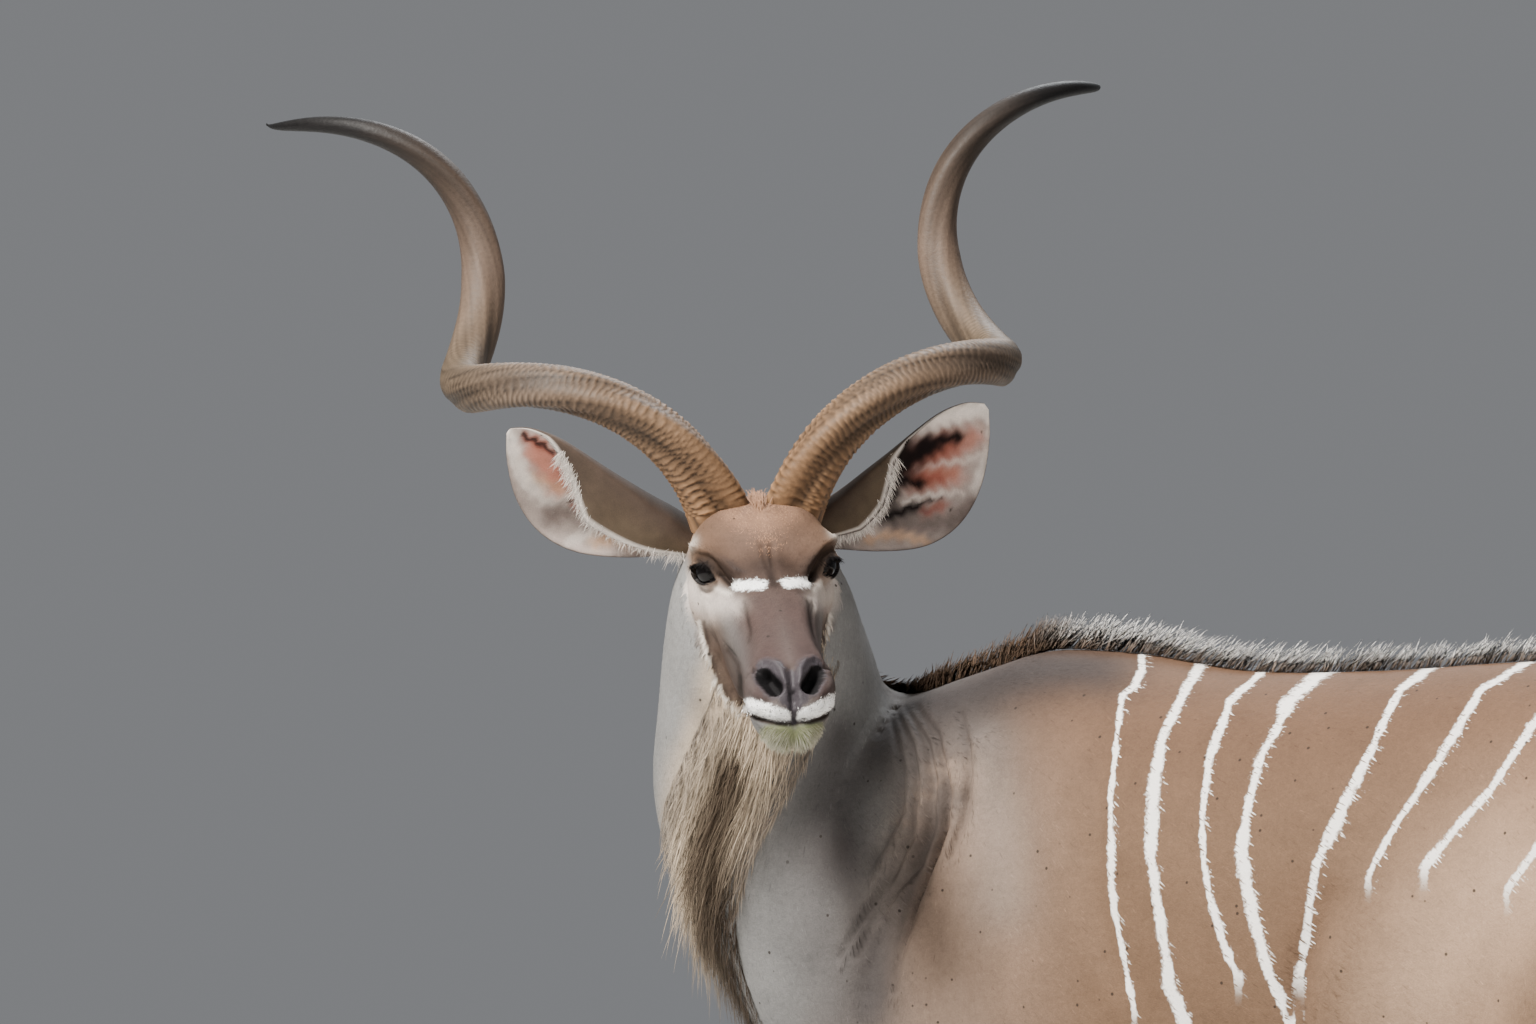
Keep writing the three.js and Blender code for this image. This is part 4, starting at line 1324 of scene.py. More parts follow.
def makeHorn(side):
    def spot(t, angle):
        s = hornShare(t)
        at, out = hornSpine(s)
        run = unit(hornSpine(s + 0.002)[0] - hornSpine(s - 0.002)[0])
        away = unit(flattened(out, run))
        beside = np.cross(run, away)
        turn = -side * angle
        keel = horn["keel"] * (1 - s) * np.exp(-(fromKeel(turn) / horn["keelHalf"]) ** 2)
        keel -= horn["furrow"] * (1 - s) * besideKeel(turn)
        ridges = horn["ridgeHeight"] * hornRidges(s, turn, side)
        grooves = 0.012 * smooth(s, 0.05, 0.3) * np.sin(9 * turn + 2 * np.sin(7 * s))
        thick = hornThickness(np.maximum(s, 0)) * (1 + keel + ridges + grooves * (1 - s))
        at = at + away * (np.cos(turn) * thick)[:, None] + beside * (np.sin(turn) * thick)[:, None]
        at[:, 1] *= side
        return onHead(at)

    def middle(t):
        at = hornSpine(hornShare(t))[0]
        at[:, 1] *= side
        return onHead(at)

    mesh = toMesh("horn", [wrap(horn["rings"], horn["sides"], spot, middle)])
    share = hornShare(readAttribute(mesh, "along"))
    stops, colors = zip(*horn["tones"])
    tone = np.stack([np.interp(share, stops, band) for band in zip(*colors)], 1)
    turn = -side * readAttribute(mesh, "around")
    ridges = hornRidges(share, turn, side)
    grooved = smooth(-share, -0.6, -0.3)
    crack = (0.5 + 0.5 * np.sin(13 * turn + 5 * np.sin(9 * share) + 2 * np.sin(3 * turn))) ** 6
    furrow = besideKeel(turn) * smooth(-share, -0.62, -0.4)
    # painted shade and light on the relief: grooves and the furrows beside the keel darker, ridges lighter
    tone *= ((1 - grooved * 0.5 + 0.9 * ridges - 0.3 * crack * grooved) * (1 - 0.6 * furrow))[:, None]
    streak = np.sin(5 * turn + 3 * np.sin(7 * share)) * np.sin(11 * turn - 4 * np.sin(5 * share + 1))
    tone *= (1 + 0.24 * streak * smooth(share, 0.1, 0.35))[:, None]
    setTone(mesh, tone)
    return mesh


sides = {"left": 1, "right": -1}
horns = {name: place("horn" + name.title(), makeHorn(side), "horn", "horn_" + name)
         for name, side in sides.items()}

# Ears: a leaf rolled to a tube at its root, its front edge folded over the hollow.
# Stations are share along, half width, depth of the cup
ear = {
    "stations": [
        (-0.09, 18, 26), (0.04, 24, 36), (0.2, 42, 44), (0.4, 60, 40),
        (0.6, 63, 33), (0.78, 52, 24), (0.92, 29, 12), (1, 5, 3),
    ],
    "root": (0, 64, -48),
    "back": 10,
    "up": 32,
    "twist": {"left": 0, "right": 18},
    "length": 235,
    "wall": 3.2,
    "sag": 34,
    "rings": 120,
    "sides": 120,
    "flapShare": 0.3,  # of the way round, where the fold is widest
    "flapFront": 0.5,
    "rim": {  # share along, height of the folded front edge in half widths
        "left": [(0, 0.1), (0.2, 0.1), (0.35, 0.35), (0.5, 0.82), (0.62, 0.97), (1, 1)],
        "right": [(0, 0), (0.15, 0), (0.48, 0.05), (0.65, 0.5), (0.85, 0.88), (1, 1)],
    },
    "outside": (0.060, 0.042, 0.032),
    "flap": (0.092, 0.066, 0.043),
    "inside": (0.50, 0.42, 0.38),
    "pink": (0.52, 0.20, 0.14),
    # red: the hollow's red ridges, and painted shade under the fringe of the right ear
    "red": (0.30, 0.085, 0.058),
    "pale": (0.86, 0.78, 0.71),
    "orange": (0.66, 0.42, 0.27),
    "mottle": (0.19, 0.15, 0.135),
    # dark: mostly painted shade, under the folded front edge and deep in the hollow
    "dark": (0.006, 0.003, 0.003),
    "edge": (0.05, 0.033, 0.026),
    "marks": {  # drawn in the picture, of the hollow: colour, reach, how sharp, how strong, line
        "left": [
            ("pale", 9, 4, 0.9, [(925, 430), (950, 416), (985, 408), (998, 425), (990, 460), (978, 490)]),
            ("pink", 13, 2, 0.8, [(932, 456), (955, 446), (972, 438)]),
            ("pink", 13, 2, 0.9, [(918, 482), (938, 476), (952, 474)]),
            ("red", 8, 2, 0.85, [(918, 480), (940, 477)]),
            ("pale", 3, 2, 0.55, [(915, 469), (940, 463), (968, 461), (985, 452)]),
            ("mottle", 13, 2, 0.95, [(896, 526), (930, 524), (955, 520), (975, 506)]),
            ("red", 6, 2, 0.8, [(925, 512), (943, 505)]),
            ("orange", 5, 2, 0.8, [(866, 541), (885, 535), (905, 536), (925, 541)]),
            ("red", 16, 3, 0.8, [(908, 462), (925, 452), (945, 444)]),
            # painted shade under the folded front edge and deep in the hollow
            ("dark", 9, 3, 0.97, [(904, 445), (900, 460), (897, 480), (890, 500)]),
            ("dark", 14, 3, 1.0, [(906, 462), (920, 452), (928, 446)]),
            ("dark", 8, 2, 1.0, [(925, 446), (945, 439), (958, 437)]),
            ("dark", 9, 2, 1.0, [(904, 480), (919, 484)]),
            ("dark", 9, 2, 1.0, [(884, 517), (900, 512), (917, 506)]),
            ("dark", 2.5, 2, 0.8, [(917, 504), (940, 498)]),
            ("pale", 2.4, 2, 0.6, [(905, 502), (920, 497), (940, 494), (962, 492)]),
            ("dark", 1.6, 4, 0.9, [(952, 510)]),
            ("dark", 1.3, 4, 0.9, [(983, 432)]),
        ],
        "right": [
            ("pale", 9, 4, 0.85, [(500, 420), (512, 448), (526, 480), (545, 497), (570, 500)]),
            ("pink", 14, 3, 0.95, [(536, 450), (548, 468), (558, 484)]),
            ("orange", 6, 2, 0.5, [(535, 478), (552, 486), (572, 492)]),
            # painted shade under the fringe, dark red
            ("red", 5, 2, 0.9, [(524, 436), (543, 446), (556, 458), (564, 474)]),
            ("dark", 2.6, 2, 0.9, [(522, 435), (540, 443), (552, 452)]),
            ("mottle", 12, 3, 0.8, [(552, 516), (572, 508), (592, 520), (615, 524)]),
            ("red", 4, 2, 0.8, [(575, 505), (588, 512), (598, 518)]),
            # painted shade below the fringe
            ("dark", 2.4, 3, 0.9, [(570, 499), (584, 504), (597, 514)]),
            ("red", 4, 2, 0.7, [(562, 470), (567, 485), (574, 496)]),
            ("pale", 6, 3, 0.7, [(570, 540), (592, 534)]),
            ("orange", 7, 2, 0.8, [(596, 542), (615, 538), (636, 543)]),
        ],
    },
    "waver": 1.5,  # how far the edges of the marks wave and how ragged they are, in the picture
    "ragged": 0.3,
    "fringe": {
        "tufts": 1500,
        "length": 18,
        "width": 0.55,
        "reach": {"left": (0.1, 0.52), "right": (0.12, 0.7)},  # share along
        "shade": (0.9, 0.2, 0.35, 1.12),
        "lift": (8, 6, -2, 24),
    },
}


def earPoint(name, t, way, inner):
    # way runs from the folded front edge at 0 round the back to the lower edge at 1
    share, half, depth = tween(ear["stations"], t).T
    rim = np.interp(share, *np.array(ear["rim"][name]).T)
    turn = ear["flapShare"] * (1 - rim)
    flap = np.clip(way / np.maximum(turn, 1e-6), 0, 1) * math.pi / 2
    onFlap = way < turn
    back = np.clip((way - turn) / (1 - turn), 0, 1) * math.pi
    tall = np.where(onFlap, rim + (1 - rim) * np.sin(flap), np.cos(back))
    deep = np.where(onFlap, ear["flapFront"] * (1 - rim) * np.cos(flap), -np.sin(back))
    thin = np.minimum(1, 6 * np.minimum(way, 1 - way))
    wall = np.minimum(ear["wall"], half * 0.4) * thin
    folds = 2.4 * np.sin(back * 3.4 + 1.5 * share) * np.sin(back) * smooth(share, 0.1, 0.3)
    inset = np.where(inner, wall - folds * smooth(-share, -0.9, -0.6), 0)
    across = tall * half - np.where(onFlap, np.sin(flap), np.cos(back)) * inset
    into = deep * depth - np.where(onFlap, np.cos(flap), -np.sin(back)) * inset
    sag = -ear["sag"] * np.sin(math.pi * np.clip(share, 0, 1)) ** 1.2
    local = np.stack((into + 0.35 * depth, ear["length"] * share, sag + across), 1)
    aim = turned("Z", ear["back"]) @ turned("X", ear["up"]) @ turned("Y", ear["twist"][name])
    spot = local @ aim.T + np.array(ear["root"])
    spot[:, 1] *= sides[name]
    return onHead(spot)


def earTone(name, points, t, way, inner):
    share = tween(ear["stations"], t)[:, 0]
    outside, inside = (evenTone(ear[part], len(share)) for part in ("outside", "inside"))

    def lay(tone, color, weight):
        return toward(tone, ear[color], weight[:, None])

    outside = lay(outside, "flap", smooth(-way, -0.24, -0.03) * smooth(-share, -0.75, -0.3))
    outside = lay(outside, "pale", smooth(-way, -0.035, -0.008) * 0.8)
    outside = lay(outside, "edge", smooth(way, 0.95, 0.99) * smooth(share, 0.1, 0.3))
    flat = inPicture(points)
    across, down = flat.T
    waves = np.sin(down * 0.4 + 2 * np.sin(across * 0.17)), np.sin(across * 0.45 + 2 * np.sin(down * 0.2))
    flat += ear["waver"] * np.stack(waves, 1) + rng.normal(0, ear["ragged"], flat.shape)
    for color, reach, power, strength, line in ear["marks"][name]:
        inside = lay(inside, color, strength * np.exp(-(toLine(flat, line)[0] / reach) ** power))
    inside = lay(inside, "edge", smooth(np.abs(way - 0.5), 0.475, 0.498) * 0.7)
    return np.where(inner[:, None], inside, outside)


def makeEar(name):
    def parts(angle):
        # how far round from the front edge, and whether in the hollow
        return np.abs(angle) / math.pi, np.sin(sides[name] * angle) < -1e-9

    def spot(t, angle):
        return earPoint(name, t, *parts(angle))

    def middle(t):
        ways = [earPoint(name, t, np.full(len(t), way), np.zeros(len(t), bool)) for way in (0.3, 0.6, 0.9)]
        return sum(ways) / 3

    mesh = toMesh("ear", [wrap(ear["rings"], ear["sides"], spot, middle)])
    way, inner = parts(readAttribute(mesh, "around"))
    setTone(mesh, earTone(name, fromRow(meshPoints(mesh)), readAttribute(mesh, "along"), way, inner))
    return mesh


ears = {name: place("ear" + name.title(), makeEar(name), "ear", "ear_" + name) for name in sides}

eyes = {}
for name, side in sides.items():
    x, y, z = head["eye"]
    form = ball((head["eyeRadius"],) * 3, onHead((x, side * y, z)), headAxes, sides=64)
    eyes[name] = place("eye" + name.title(), toMesh("eye", [form]), "eye", "eye_" + name)

# Hooves: two claws each, as level sections from the top: height, shift, half length, half width
clawStations = [(63, 9, 27, 15), (45, 5, 33, 15.5), (22, -2, 40, 16), (1.5, -8, 45, 16), (0, -8, 43, 15)]
clawSpread = 16.5
clawMiddle = 31  # height
dewclaw = {"size": (11, 9, 17), "lean": 25, "out": 14, "height": 122, "sunk": 4}


def makeHoof(name):
    stations, side, stride = legs[name]
    x, y = stations[-1][1] + stride * (1 - clawMiddle / leanTop), side * stations[-1][2]

    def claw(half):
        def spot(t, angle):
            z, shift, long, wide = tween(clawStations, t).T
            fore = np.maximum(0, np.cos(angle))
            point = 1 - 0.45 * fore ** 2
            ring = 1 + 0.012 * np.sin(z * 0.9)
            return np.stack((
                x + shift - np.cos(angle) * long * ring,
                y + half * (clawSpread - 3 * fore) - np.sin(angle) * wide * point * ring,
                z), 1)

        def middle(t):
            z, shift = tween(clawStations, t).T[:2]
            return np.stack((x + shift, np.full_like(z, y + half * clawSpread), z), 1)

        return wrap(40, 32, spot, middle)

    centre, long, _ = legFrame(stations, side, stride, np.linspace(0.7, 1, 300))
    level = np.argmin(np.abs(centre[:, 2] - dewclaw["height"]))
    heel = centre[level] + (long[level] - dewclaw["sunk"], 0, 0)
    turn = turned("Y", -dewclaw["lean"])
    nubs = [ball(dewclaw["size"], heel + (0, half * dewclaw["out"], 0), turn, 20) for half in (-1, 1)]
    return toMesh("hoof", [claw(-1), claw(1), *nubs])


hooves = {}
for name in legs:
    node = name.replace("foreleg", "hoof_fore").replace("hindleg", "hoof_hind")
    hooves[name] = place(name + ".hoof", makeHoof(name), "hoof", node)
print("horns, ears, eyes and hooves made")

# Materials of the bare parts


def hornMaterial():
    shader = Shader("horn", {"Specular IOR Level": 0.2})
    tone = shader.attribute("tone")
    fine = shader.noise(260.0, 4.0)
    broad = shader.noise(30.0, 3.0)
    color = shader.scale(tone, 0.55 + 0.5 * fine + 0.42 * broad)
    shader.set("Base Color", color)
    shader.set("Roughness", 0.42 + 0.3 * fine)
    shader.bump(fine + shader.noise(900.0, 2.0) * 0.5, 0.35, 0.0012)
    return shader.material


def earMaterial():
    shader = Shader("ear", {"Specular IOR Level": 0.12, "Roughness": 0.7})
    fine = shader.noise(700.0, 3.0)
    mottle = shader.noise(70.0, 3.0)
    shader.set("Base Color", shader.scale(shader.attribute("tone"), 0.5 + 0.44 * fine + 0.56 * mottle))
    shader.bump(fine, 0.4, 0.001)
    return shader.material


def eyeMaterial():
    constants = {"Base Color": (0.004, 0.003, 0.003, 1), "Roughness": 0.08, "Specular IOR Level": 0.2}
    return Shader("eye", constants).material


def hoofMaterial():
    shader = Shader("hoof", {"Specular IOR Level": 0.4})
    fine = shader.noise(160.0, 4.0)
    shader.set("Base Color", shader.mix(fine, (0.016, 0.014, 0.013, 1), (0.055, 0.047, 0.04, 1)))
    shader.set("Roughness", 0.4 + 0.3 * fine)
    shader.bump(fine, 0.4, 0.001)
    return shader.material


for pieces, material in (
        (horns, hornMaterial()), (ears, earMaterial()), (eyes, eyeMaterial()), (hooves, hoofMaterial())):
    for piece in pieces.values():
        piece.data.materials.append(material)

# Tufts: thin closed blades of three sides, rooted a little under the skin
tuftProfiles = {
    "short": [(0, 0.75), (0.5, 1)],  # share along, share of the width
    "long": [(0, 0.7), (0.3, 1), (0.6, 0.8), (0.84, 0.42)],
}
tuftSunk = 0.3
tuftPatch = 0.0015  # half the size of a tuft on the unwrap
tuftShade = (1, 0.1, 0.6, 1.4)  # of the coat's colour: middle, spread, least, most
pieceTufts = {"short": 19000, "long": 8636}  # the most that go into one piece


def bladeFaces(rings):
    faces = [(0, 2, 1)]
    for ring in range(rings - 1):
        for corner in range(3):
            a, b = ring * 3 + corner, ring * 3 + (corner + 1) % 3
            faces += [(a, b, b + 3), (a, b + 3, a + 3)]
    top = (rings - 1) * 3
    faces += [(top + corner, top + (corner + 1) % 3, rings * 3) for corner in range(3)]
    return np.array(faces)


def bladeMesh(name, tufts, profile, tipTone=None):
    # tufts: arrays of root, normal, lie, length, width, lift, droop, pull, tone, stripe, wet, map
    rows = tuftProfiles[profile]
    count = len(tufts["root"])
    normal, lie = tufts["normal"], unit(tufts["lie"])
    across = unit(np.cross(lie, normal))
    lift = np.radians(tufts["lift"])[:, None]
    length = tufts["length"][:, None]
    start = lie * np.cos(lift) + normal * np.sin(lift)
    bend = -normal * np.sin(lift) * tufts["curl"] + np.array((0, 0, -1)) * tufts["droop"][:, None]
    points = np.empty((count, len(rows) * 3 + 1, 3))
    shading = np.empty_like(points)
    shares = np.empty(len(rows) * 3 + 1)

    def spine(share):
        path = tufts["root"] - normal * tuftSunk + length * (start * share + bend * share ** 2)
        return path + tufts["pull"] * share ** 1.6

    for number, (share, size) in enumerate(rows):
        at = spine(share)
        half = tufts["width"][:, None] / 2 * size
        run = unit(spine(share + 0.05) - at)
        over = np.cross(across, run)
        over *= np.sign(np.sum(over * normal, 1))[:, None]
        points[:, number * 3] = at + across * half
        points[:, number * 3 + 1] = at + over * half * 0.35
        points[:, number * 3 + 2] = at - across * half
        shares[number * 3:number * 3 + 3] = share
        facing = normal - run * np.sum(normal * run, 1)[:, None] * 0.8
        for corner, turn in enumerate((0.3, 0, -0.3)):
            shading[:, number * 3 + corner] = unit(unit(facing) + across * turn)
    points[:, -1] = spine(1.0)
    shading[:, -1] = shading[:, -3]
    shares[-1] = 1
    faces = bladeFaces(len(rows))
    edges = points[:, faces]
    inside = points.mean(1)[:, None]
    volume = np.sum(np.cross(edges[:, :, 1] - edges[:, :, 0], edges[:, :, 2] - edges[:, :, 0])
                    * (edges[:, :, 0] - inside), (1, 2))
    order = np.where((volume > 0)[:, None, None], faces, faces[:, ::-1])
    verts = len(shares)
    corners = (order + (np.arange(count) * verts)[:, None, None]).reshape(-1)
    mesh = bpy.data.meshes.new(name)
    mesh.vertices.add(count * verts)
    mesh.vertices.foreach_set("co", toRow(points).astype(np.float32).ravel())
    mesh.loops.add(len(corners))
    mesh.loops.foreach_set("vertex_index", corners.astype(np.int32))
    mesh.polygons.add(len(corners) // 3)
    mesh.polygons.foreach_set("loop_start", np.arange(0, len(corners), 3, dtype=np.int32))
    mesh.update(calc_edges=True)
    mesh.normals_split_custom_set_from_vertices(shading.reshape(-1, 3))
    tone = np.repeat(tufts["tone"][:, None], verts, 1)
    if tipTone is not None:
        tone = tipTone(tufts, tone, shares)
    setTone(mesh, tone.reshape(-1, 3))
    setAttribute(mesh, "stripe", "FLOAT_VECTOR", np.repeat(tufts["stripe"], verts, 0))
    setAttribute(mesh, "wet", "FLOAT", np.repeat(tufts["wet"], verts))
    patch = np.stack((np.linspace(-1, 1, verts), np.cos(np.arange(verts) * 2.4)), 1) * tuftPatch
    flat = (tufts["map"][:, None] + patch).reshape(-1, 2)
    layer = mesh.uv_layers.new(name="OFBake")
    layer.data.foreach_set("uv", flat[corners].astype(np.float32).ravel())
    return mesh


def skinSpread(density):
    # places spread evenly over the skin: the corners of the face each lies in, and their weights
    skin.data.calc_loop_triangles()
    corners = fetch(skin.data.loop_triangles, "vertices", 3, np.int32)
    a, b, c = (skinPoints[corners[:, number]] for number in range(3))
    area = np.linalg.norm(np.cross(b - a, c - a), axis=1) / 2
    share = np.cumsum(area * density[corners].mean(1) * 1e-6)
    count = int(share[-1])
    chosen = np.searchsorted(share, (np.arange(count) + rng.random(count)) * share[-1] / count)
    chosen = np.minimum(chosen, len(corners) - 1)
    u, v = rng.random((2, count))
    over = u + v > 1
    u, v = np.where(over, 1 - u, u), np.where(over, 1 - v, v)
    weights = np.stack((1 - u - v, u, v), 1)
    return corners[chosen], weights


def fromSkin(values, corners, weights):
    picked = values[corners]
    if values.ndim == 1:
        return np.sum(picked * weights, 1)
    return np.sum(picked * weights[:, :, None], 1)


def drawn(row, shape):
    # random numbers: their middle, spread, least and most
    middle, spread, least, most = row
    return rng.normal(middle, spread, shape).clip(least, most)


def spotsAlong(reach, count, power=1):
    # random places along a reach, and how far through it each one lies
    low, high = reach
    t = low + (high - low) * rng.random(count) ** power
    return t, (t - low) / (high - low)


def plainRows(count):
    # what most tufts go without
    rows, single = np.zeros((count, 3)), np.zeros(count)
    return {"stripe": rows, "pull": rows, "wet": single, "droop": single}


def newTufts(corners, weights, length, width, lift):
    count = len(corners)
    tufts = {
        **plainRows(count),
        "root": fromSkin(skinPoints, corners, weights),
        "normal": unit(fromSkin(skinNormals, corners, weights)),
        "lie": fromSkin(skinLies, corners, weights) + rng.normal(0, 0.07, (count, 3)),
        "tone": fromSkin(skinTone, corners, weights) * drawn(tuftShade, (count, 1)),
        "stripe": fromSkin(skinStripe, corners, weights),
        "map": guideMaps[skinGuides][corners[:, 0]],
        "length": length * rng.uniform(0.75, 1.2, count),
        "width": width * rng.uniform(0.8, 1.2, count),
        "lift": lift * rng.uniform(0.4, 1.5, count),
        "curl": 0.75,
    }
    tufts["lie"] = flattened(tufts["lie"], tufts["normal"])
    return tufts


def pick(tufts, chosen):
    return {key: values[chosen] if np.ndim(values) else values for key, values in tufts.items()}


def layCoat(name, tufts, profile, tipTone=None):
    count = len(tufts["root"])
    pieces = math.ceil(count / pieceTufts[profile])
    for number in range(pieces):
        part = pick(tufts, np.arange(number, count, pieces))
        mesh = bladeMesh(name, part, profile, tipTone)
        mesh.materials.append(tuftMaterial)
        place(name + "." + str(number), mesh, "coat")
    print(name, count, "tufts in", pieces)


shortCoat = {
    # places to a square metre, length and width in millimetres
    "body": (25000, 11, 1.5),
    "leg": (21000, 12, 1.9),
    "head": (95000, 6.5, 0.95),
}


def growShortCoat():
    onLegs = (skinRegions >= 3) & (skinPoints[:, 2] < 900)
    density = np.where(onLegs, shortCoat["leg"][0], shortCoat["body"][0]).astype(float)
    density = np.where(mostlyHead, shortCoat["head"][0], density)
    along, up, out = eyePlace(skinPlaces)
    bare = (skinWet > 0.2) | (mostlyHead & (lidGap(along, up) < 1.5) & nearEye(out))
    folds = inFolds(skinPoints, inPicture(skinPoints)) * (skinNormals @ backward > 0)
    density = np.where(bare | (folds > 0.3), 0, density)
    low = smooth(skinPoints[:, 2], 120, 420)
    corners, weights = skinSpread(density)
    headShare = fromSkin(mostlyHead.astype(float), corners, weights)
    legShare = fromSkin(onLegs.astype(float), corners, weights)
    body, leg, face = (np.array(shortCoat[part][1:])[:, None] for part in ("body", "leg", "head"))
    length, width = body + (leg - body) * legShare + (face - body) * headShare
    shrink = 0.6 + 0.4 * np.maximum(fromSkin(low, corners, weights), headShare)
    muzzle = smooth(fromSkin(skinPlaces, corners, weights)[:, 0], 250, 380) * headShare
    size = shrink * (1 - 0.4 * muzzle)
    layCoat("fur", newTufts(corners, weights, length * size, width * size, 3.6 + 4 * headShare), "short")


growShortCoat()

# Longer hair of the face, drawn in the picture on the viewer's left half: line, reach, tufts to a
# square metre, length, width, lift, how far it swirls and hangs, colour and tip colour
facePatches = {
    "forelock": ([(764, 498), (772, 498)], 12, 620000, 33, 0.9, 66, 0.35, 0, "forehead", "forehead"),
    "curls": ([(748, 512), (771, 518), (771, 536)], 19, 420000, 6, 0.5, 9, 0.45, 0, "forehead", "forehead"),
    "chin": ([(786, 737), (774, 735)], 10, 460000, 7.5, 0.7, 8, 0.15, 0.9, "chin", "pale line"),
    "lip": (upperLip, 6, 420000, 4, 0.8, 24, 0.3, 0.1, "white", "white"),
}
patchShade = (0.92, 0.2, 0.3, 1.4)


def growFacePatches():
    flat = onFaceHalf(skinPlaces)
    local = skinNormals @ headAxes
    ahead = smooth(local[:, 0] + local[:, 2] + 0.9, 0, 0.3)
    face = smooth(skinPlaces[:, 0], 20, 50) * ahead * mostlyHead
    for name, row in facePatches.items():
        line, reach, density, length, width, lift, swirl, droop, color, tip = row
        gap, _ = toLine(flat, line)
        corners, weights = skinSpread(density * np.exp(-(gap / reach) ** 4) * face * (skinWet < 0.3))
        tufts = newTufts(corners, weights, length, width, lift)
        count = len(corners)
        tufts["lie"] = flattened(tufts["lie"] + rng.normal(0, swirl, (count, 3)), tufts["normal"])
        tufts["droop"] = np.full(count, float(droop))
        tufts["tone"] = np.array(coatColors[color]) * drawn(patchShade, (count, 1))
        if name == "lip":
            dark = rng.random(count) < 0.07
            tufts["tone"][dark] = coatColors["dark line"]

        def tips(tufts, tone, shares, tip=tip):
            weight = 0.6 * smooth(shares, 0.3, 1)[None, :, None]
            return toward(tone, coatColors[tip], weight)

        layCoat(name, tufts, "long" if length > 8 else "short", None if name == "lip" else tips)


def growLashes():
    along, up, out = eyePlace(skinPlaces)
    gap = lidGap(along, up)
    onLid = (gap > 0.2) & (gap < 2.6) & (up > 2) & nearEye(out) & mostlyHead
    corners, weights = skinSpread(900000.0 * onLid)
    tufts = newTufts(corners, weights, 6, 0.4, 20)
    side = np.sign(toHead(tufts["root"])[:, 1])
    even = np.ones_like(side)
    ahead = np.stack((even * math.cos(gazeYaw), side * math.sin(gazeYaw), even * -0.5), 1)
    tufts["lie"] = unit(ahead @ headAxes.T + rng.normal(0, 0.25, (len(side), 3)))
    tufts["tone"] = evenTone(coatColors["eye rim"], len(side))
    layCoat("lashes", tufts, "short")


def growFringe():
    # pale hair from the folded edge of the ears over their hollow
    fringe = ear["fringe"]
    rows = []
    for number, name in enumerate(sides):
        count = fringe["tufts"]
        t, _ = spotsAlong(fringe["reach"][name], count, 1.3)
        root = earPoint(name, t, rng.uniform(0.003, 0.05, count), np.zeros(count, bool))
        hollow = earPoint(name, t + 0.04, np.full(count, 0.66), np.ones(count, bool))
        behind = earPoint(name, t, np.full(count, 0.5), np.zeros(count, bool))
        lie = unit(unit(hollow - root) + np.array((0, 0, -0.6)) + rng.normal(0, 0.26, (count, 3)))
        normal = unit(flattened(unit(root - behind), lie))
        spots = np.stack((0.345 + 0.03 * number + 0.025 * rng.random(count), 0.02 + 0.36 * t), 1)
        base = 1 + 0.5 * smooth(-t, -0.3, -0.12)
        tone = np.array(ear["pale"]) * drawn(fringe["shade"], (count, 1))
        rows.append({
            **plainRows(count),
            "root": root, "normal": normal, "lie": lie, "tone": tone, "map": spots,
            "length": fringe["length"] * base * rng.uniform(0.6, 1.15, count),
            "width": fringe["width"] * rng.uniform(0.7, 1.2, count),
            "lift": drawn(fringe["lift"], count), "droop": np.full(count, 0.15),
        })
    tufts = {key: np.concatenate([row[key] for row in rows]) for key in rows[0]}
    layCoat("fringe", {**tufts, "curl": 0.4}, "long")


growFacePatches()
growLashes()
growFringe()

# Long hair. A reach runs along the body from the rump, lengths run along that reach, and rows of
# four are random draws: middle, spread, least, most
maneBrown = (0.075, 0.048, 0.032)
crest = {
    "tufts": 3000,
    "reach": (0.06, 0.66),
    "lengths": [26, 38, 44, 52, 60, 60, 46, 34],
    "width": 1.9,
    "half": 13,  # half its breadth on the back, in millimetres
    "across": (0, 0.45, -1, 1),
    "lift": (52, 9, 25, 78),
    "shade": (1.3, 0.3, 0.6, 2.4),
    "white": (0.90, 0.87, 0.83),
}
nape = {
    "tufts": 1100,
    "reach": (0.62, 0.985),
    "lengths": [30, 32, 30, 24],
    "width": 1.7,
    "half": 12,
    "across": (0, 0.5, -1, 1),
    "lift": (38, 9, 12, 65),
    "shade": (1.6, 0.4, 0.7, 2.8),
}
throat = {
    "tufts": 8000,
    "reach": (0.585, 0.99),
    "length": 84,
    "width": 1.0,
    "half": 0.62,  # half its breadth round the neck, in radians
    "turn": [(0.58, 0), (0.72, 0.1), (0.86, 0.3), (1, 0.42)],  # from the middle to the left
    "across": (0, 0.56, -1, 1),
    "lift": (9, 5, 2, 32),
    "shade": (1, 0.18, 0.35, 1.4),
    "cream": (0.46, 0.365, 0.265),
    "dull": (0.15, 0.125, 0.105),
    "core": (0.030, 0.019, 0.012),
    # reach and line of its dark core in the picture
    "dark": (23, [(738, 756), (724, 800), (716, 850), (718, 900), (736, 960), (752, 1010)]),
}


def onBody(t, angle):
    # place, outward normal and lie on the neck and torso
    here = bodySpot(t, angle)
    back = unit(bodySpot(t - 0.003, angle) - bodySpot(t + 0.003, angle))
    around = unit(bodySpot(t, angle + 0.02) - bodySpot(t, angle - 0.02))
    normal = unit(np.cross(back, around))
    normal *= np.sign(np.sum(normal * (here - bodyMiddle(t)), 1))[:, None]
    return here, normal, back


